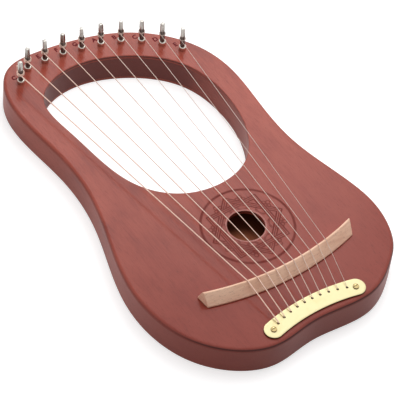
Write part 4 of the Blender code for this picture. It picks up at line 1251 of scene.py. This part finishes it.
def wire_piece(name, path, radius, aside, finish, body, *nodes):
    """A wire as a piece, closed at both ends. Every point keeps its distance along the wire."""
    rows = wire(path, radius, aside)
    made = piece(name, rows, bar_faces(*rows.shape[:2]), finish, "bronze_wire", body, *nodes,
                 smooth=60.0)
    along = made.data.attributes.new("along", "FLOAT", "POINT")
    along.data.foreach_set("value", np.repeat(travelled(path), rows.shape[1]).astype(np.float32))


def wound_bronze(name, colour):
    """Bronze winding wire: a round ridge to each turn, painted shade between the turns and a slow
    change of tone.
    """
    finish = Finish(name)
    along = finish.node("ShaderNodeAttribute", {"attribute_name": "along"}, {}, "Fac")
    ridge = (along * (2.0 * math.pi / WOUND_PITCH)).maths("SINE") * 0.5 + 0.5
    tone = finish.noise(finish.place(), BRONZE_CLOUDS)
    # Painted shade: the grooves between the turns are darker.
    lit = finish.step(ridge, 0.0, 0.5) * (WOUND_SHARES[0] + tone * WOUND_SHARES[1])
    finish.set("Base Color", finish.blend(tuple(colour * BRONZE_GROOVE_SHADE), tuple(colour), lit))
    finish.set("Roughness", varied(tone, *WOUND_ROUGHNESS))
    finish.set("Metallic", WOUND_METALLIC)
    finish.bump(ridge, *WOUND_RELIEF)
    return finish


def smooth_path(stations, bend):
    """Straight runs between stations, with a parabola of this reach at each station between."""
    corners = stations[1:-1]
    curves = parabolas(corners, unit(stations[:-2] - corners) * bend,
                       unit(stations[2:] - corners) * bend, 9)
    return np.concatenate([stations[:1], curves, stations[-1:]])


bronzes = [wound_bronze(f"wound_bronze_{number:02d}", BRONZE + (BRONZE_PALE - BRONZE) * share)
           for number, share in enumerate(np.linspace(0.0, 1.0, STRING_COUNT), 1)]
slopes = unit(touches - bends)
leads = np.sqrt((turn_radii + 2.0 * radii + CLEAR) ** 2 - turn_radii ** 2)
string_feet = np.column_stack([tail_holes, np.full(STRING_COUNT, BALL_BORE_DEPTH - BALL_SOCKET)])
string_corners = np.column_stack([tail_holes, plate_top + 2.0 * radii + CLEAR])
routes = np.stack([string_feet, string_corners, bends, touches - slopes * leads[:, None]], axis=1)
for index, stations in enumerate(routes):
    route = smooth_path(stations, STRING_BEND)
    across = np.tile((headings[index][1], -headings[index][0], 0.0), (len(route), 1))
    wire_piece(f"bronze_string_{index + 1:02d}", route, radii[index], across, bronzes[index],
               "harp", f"string_{index + 1:02d}")


# Windings. Each string's end meets its pin just below the head, and winds down the shaft in
# two and a half turns. The turns go round with the pin. On the first pin the wire's cut end
# stands up beside the head.
WINDING_TURNS = 2.5
WINDING_GAP = 0.0005
TURN_STEPS = 40
LEAD_STEPS = 5
CUT_INSIDE = 0.0012
CUT_LIFT = 0.0017
CUT_ASIDE = 0.0030
CUT_SPLAY = 0.0004
CUT_TOP = 0.0090
CUT_BEND = 0.0010
for index, (axis, touch) in enumerate(zip(string_tops, touches)):
    start = math.atan2(touch[1] - axis[1], touch[0] - axis[0])
    share = np.linspace(0.0, WINDING_TURNS, int(WINDING_TURNS * TURN_STEPS) + 1)
    angle = start - 2.0 * math.pi * share
    out = np.stack([np.cos(angle), np.sin(angle), np.zeros(len(angle))], axis=1)
    fall = np.outer((2.0 * radii[index] + WINDING_GAP) * share, (0.0, 0.0, 1.0))
    coil = (out * turn_radii[index] - fall) @ pin_tilt.T + axis
    out = out @ pin_tilt.T
    lead = np.linspace(leads[index] - CLEAR, 0.0, LEAD_STEPS + 1)[:-1, None]
    path = np.concatenate([touch - slopes[index] * lead, coil])
    out = np.concatenate([np.tile(out[0], (LEAD_STEPS, 1)), out])
    wire_piece(f"bronze_turns_{index + 1:02d}", path, radii[index], out, bronzes[index],
               f"pin_{index + 1:02d}", f"string_winding_{index + 1:02d}")

cut_stations = np.array([(-CUT_INSIDE, 0.0, CUT_LIFT), (-CUT_ASIDE, 0.0, CUT_LIFT),
                         (-CUT_ASIDE - CUT_SPLAY, 0.0, CUT_TOP)])
cut_path = smooth_path(cut_stations @ pin_tilt.T + string_tops[0], CUT_BEND)
wire_piece("cut_end_01", cut_path, radii[0], np.tile((0.0, 1.0, 0.0), (len(cut_path), 1)),
           bronzes[0], "pin_01")


# Ball ends. Small turned brass barrels in the back's ten holes. Each sits on a string's end
# and holds it against the string's pull.
for number in range(1, STRING_COUNT + 1):
    dress(f"ball_end_{number:02d}", brass)
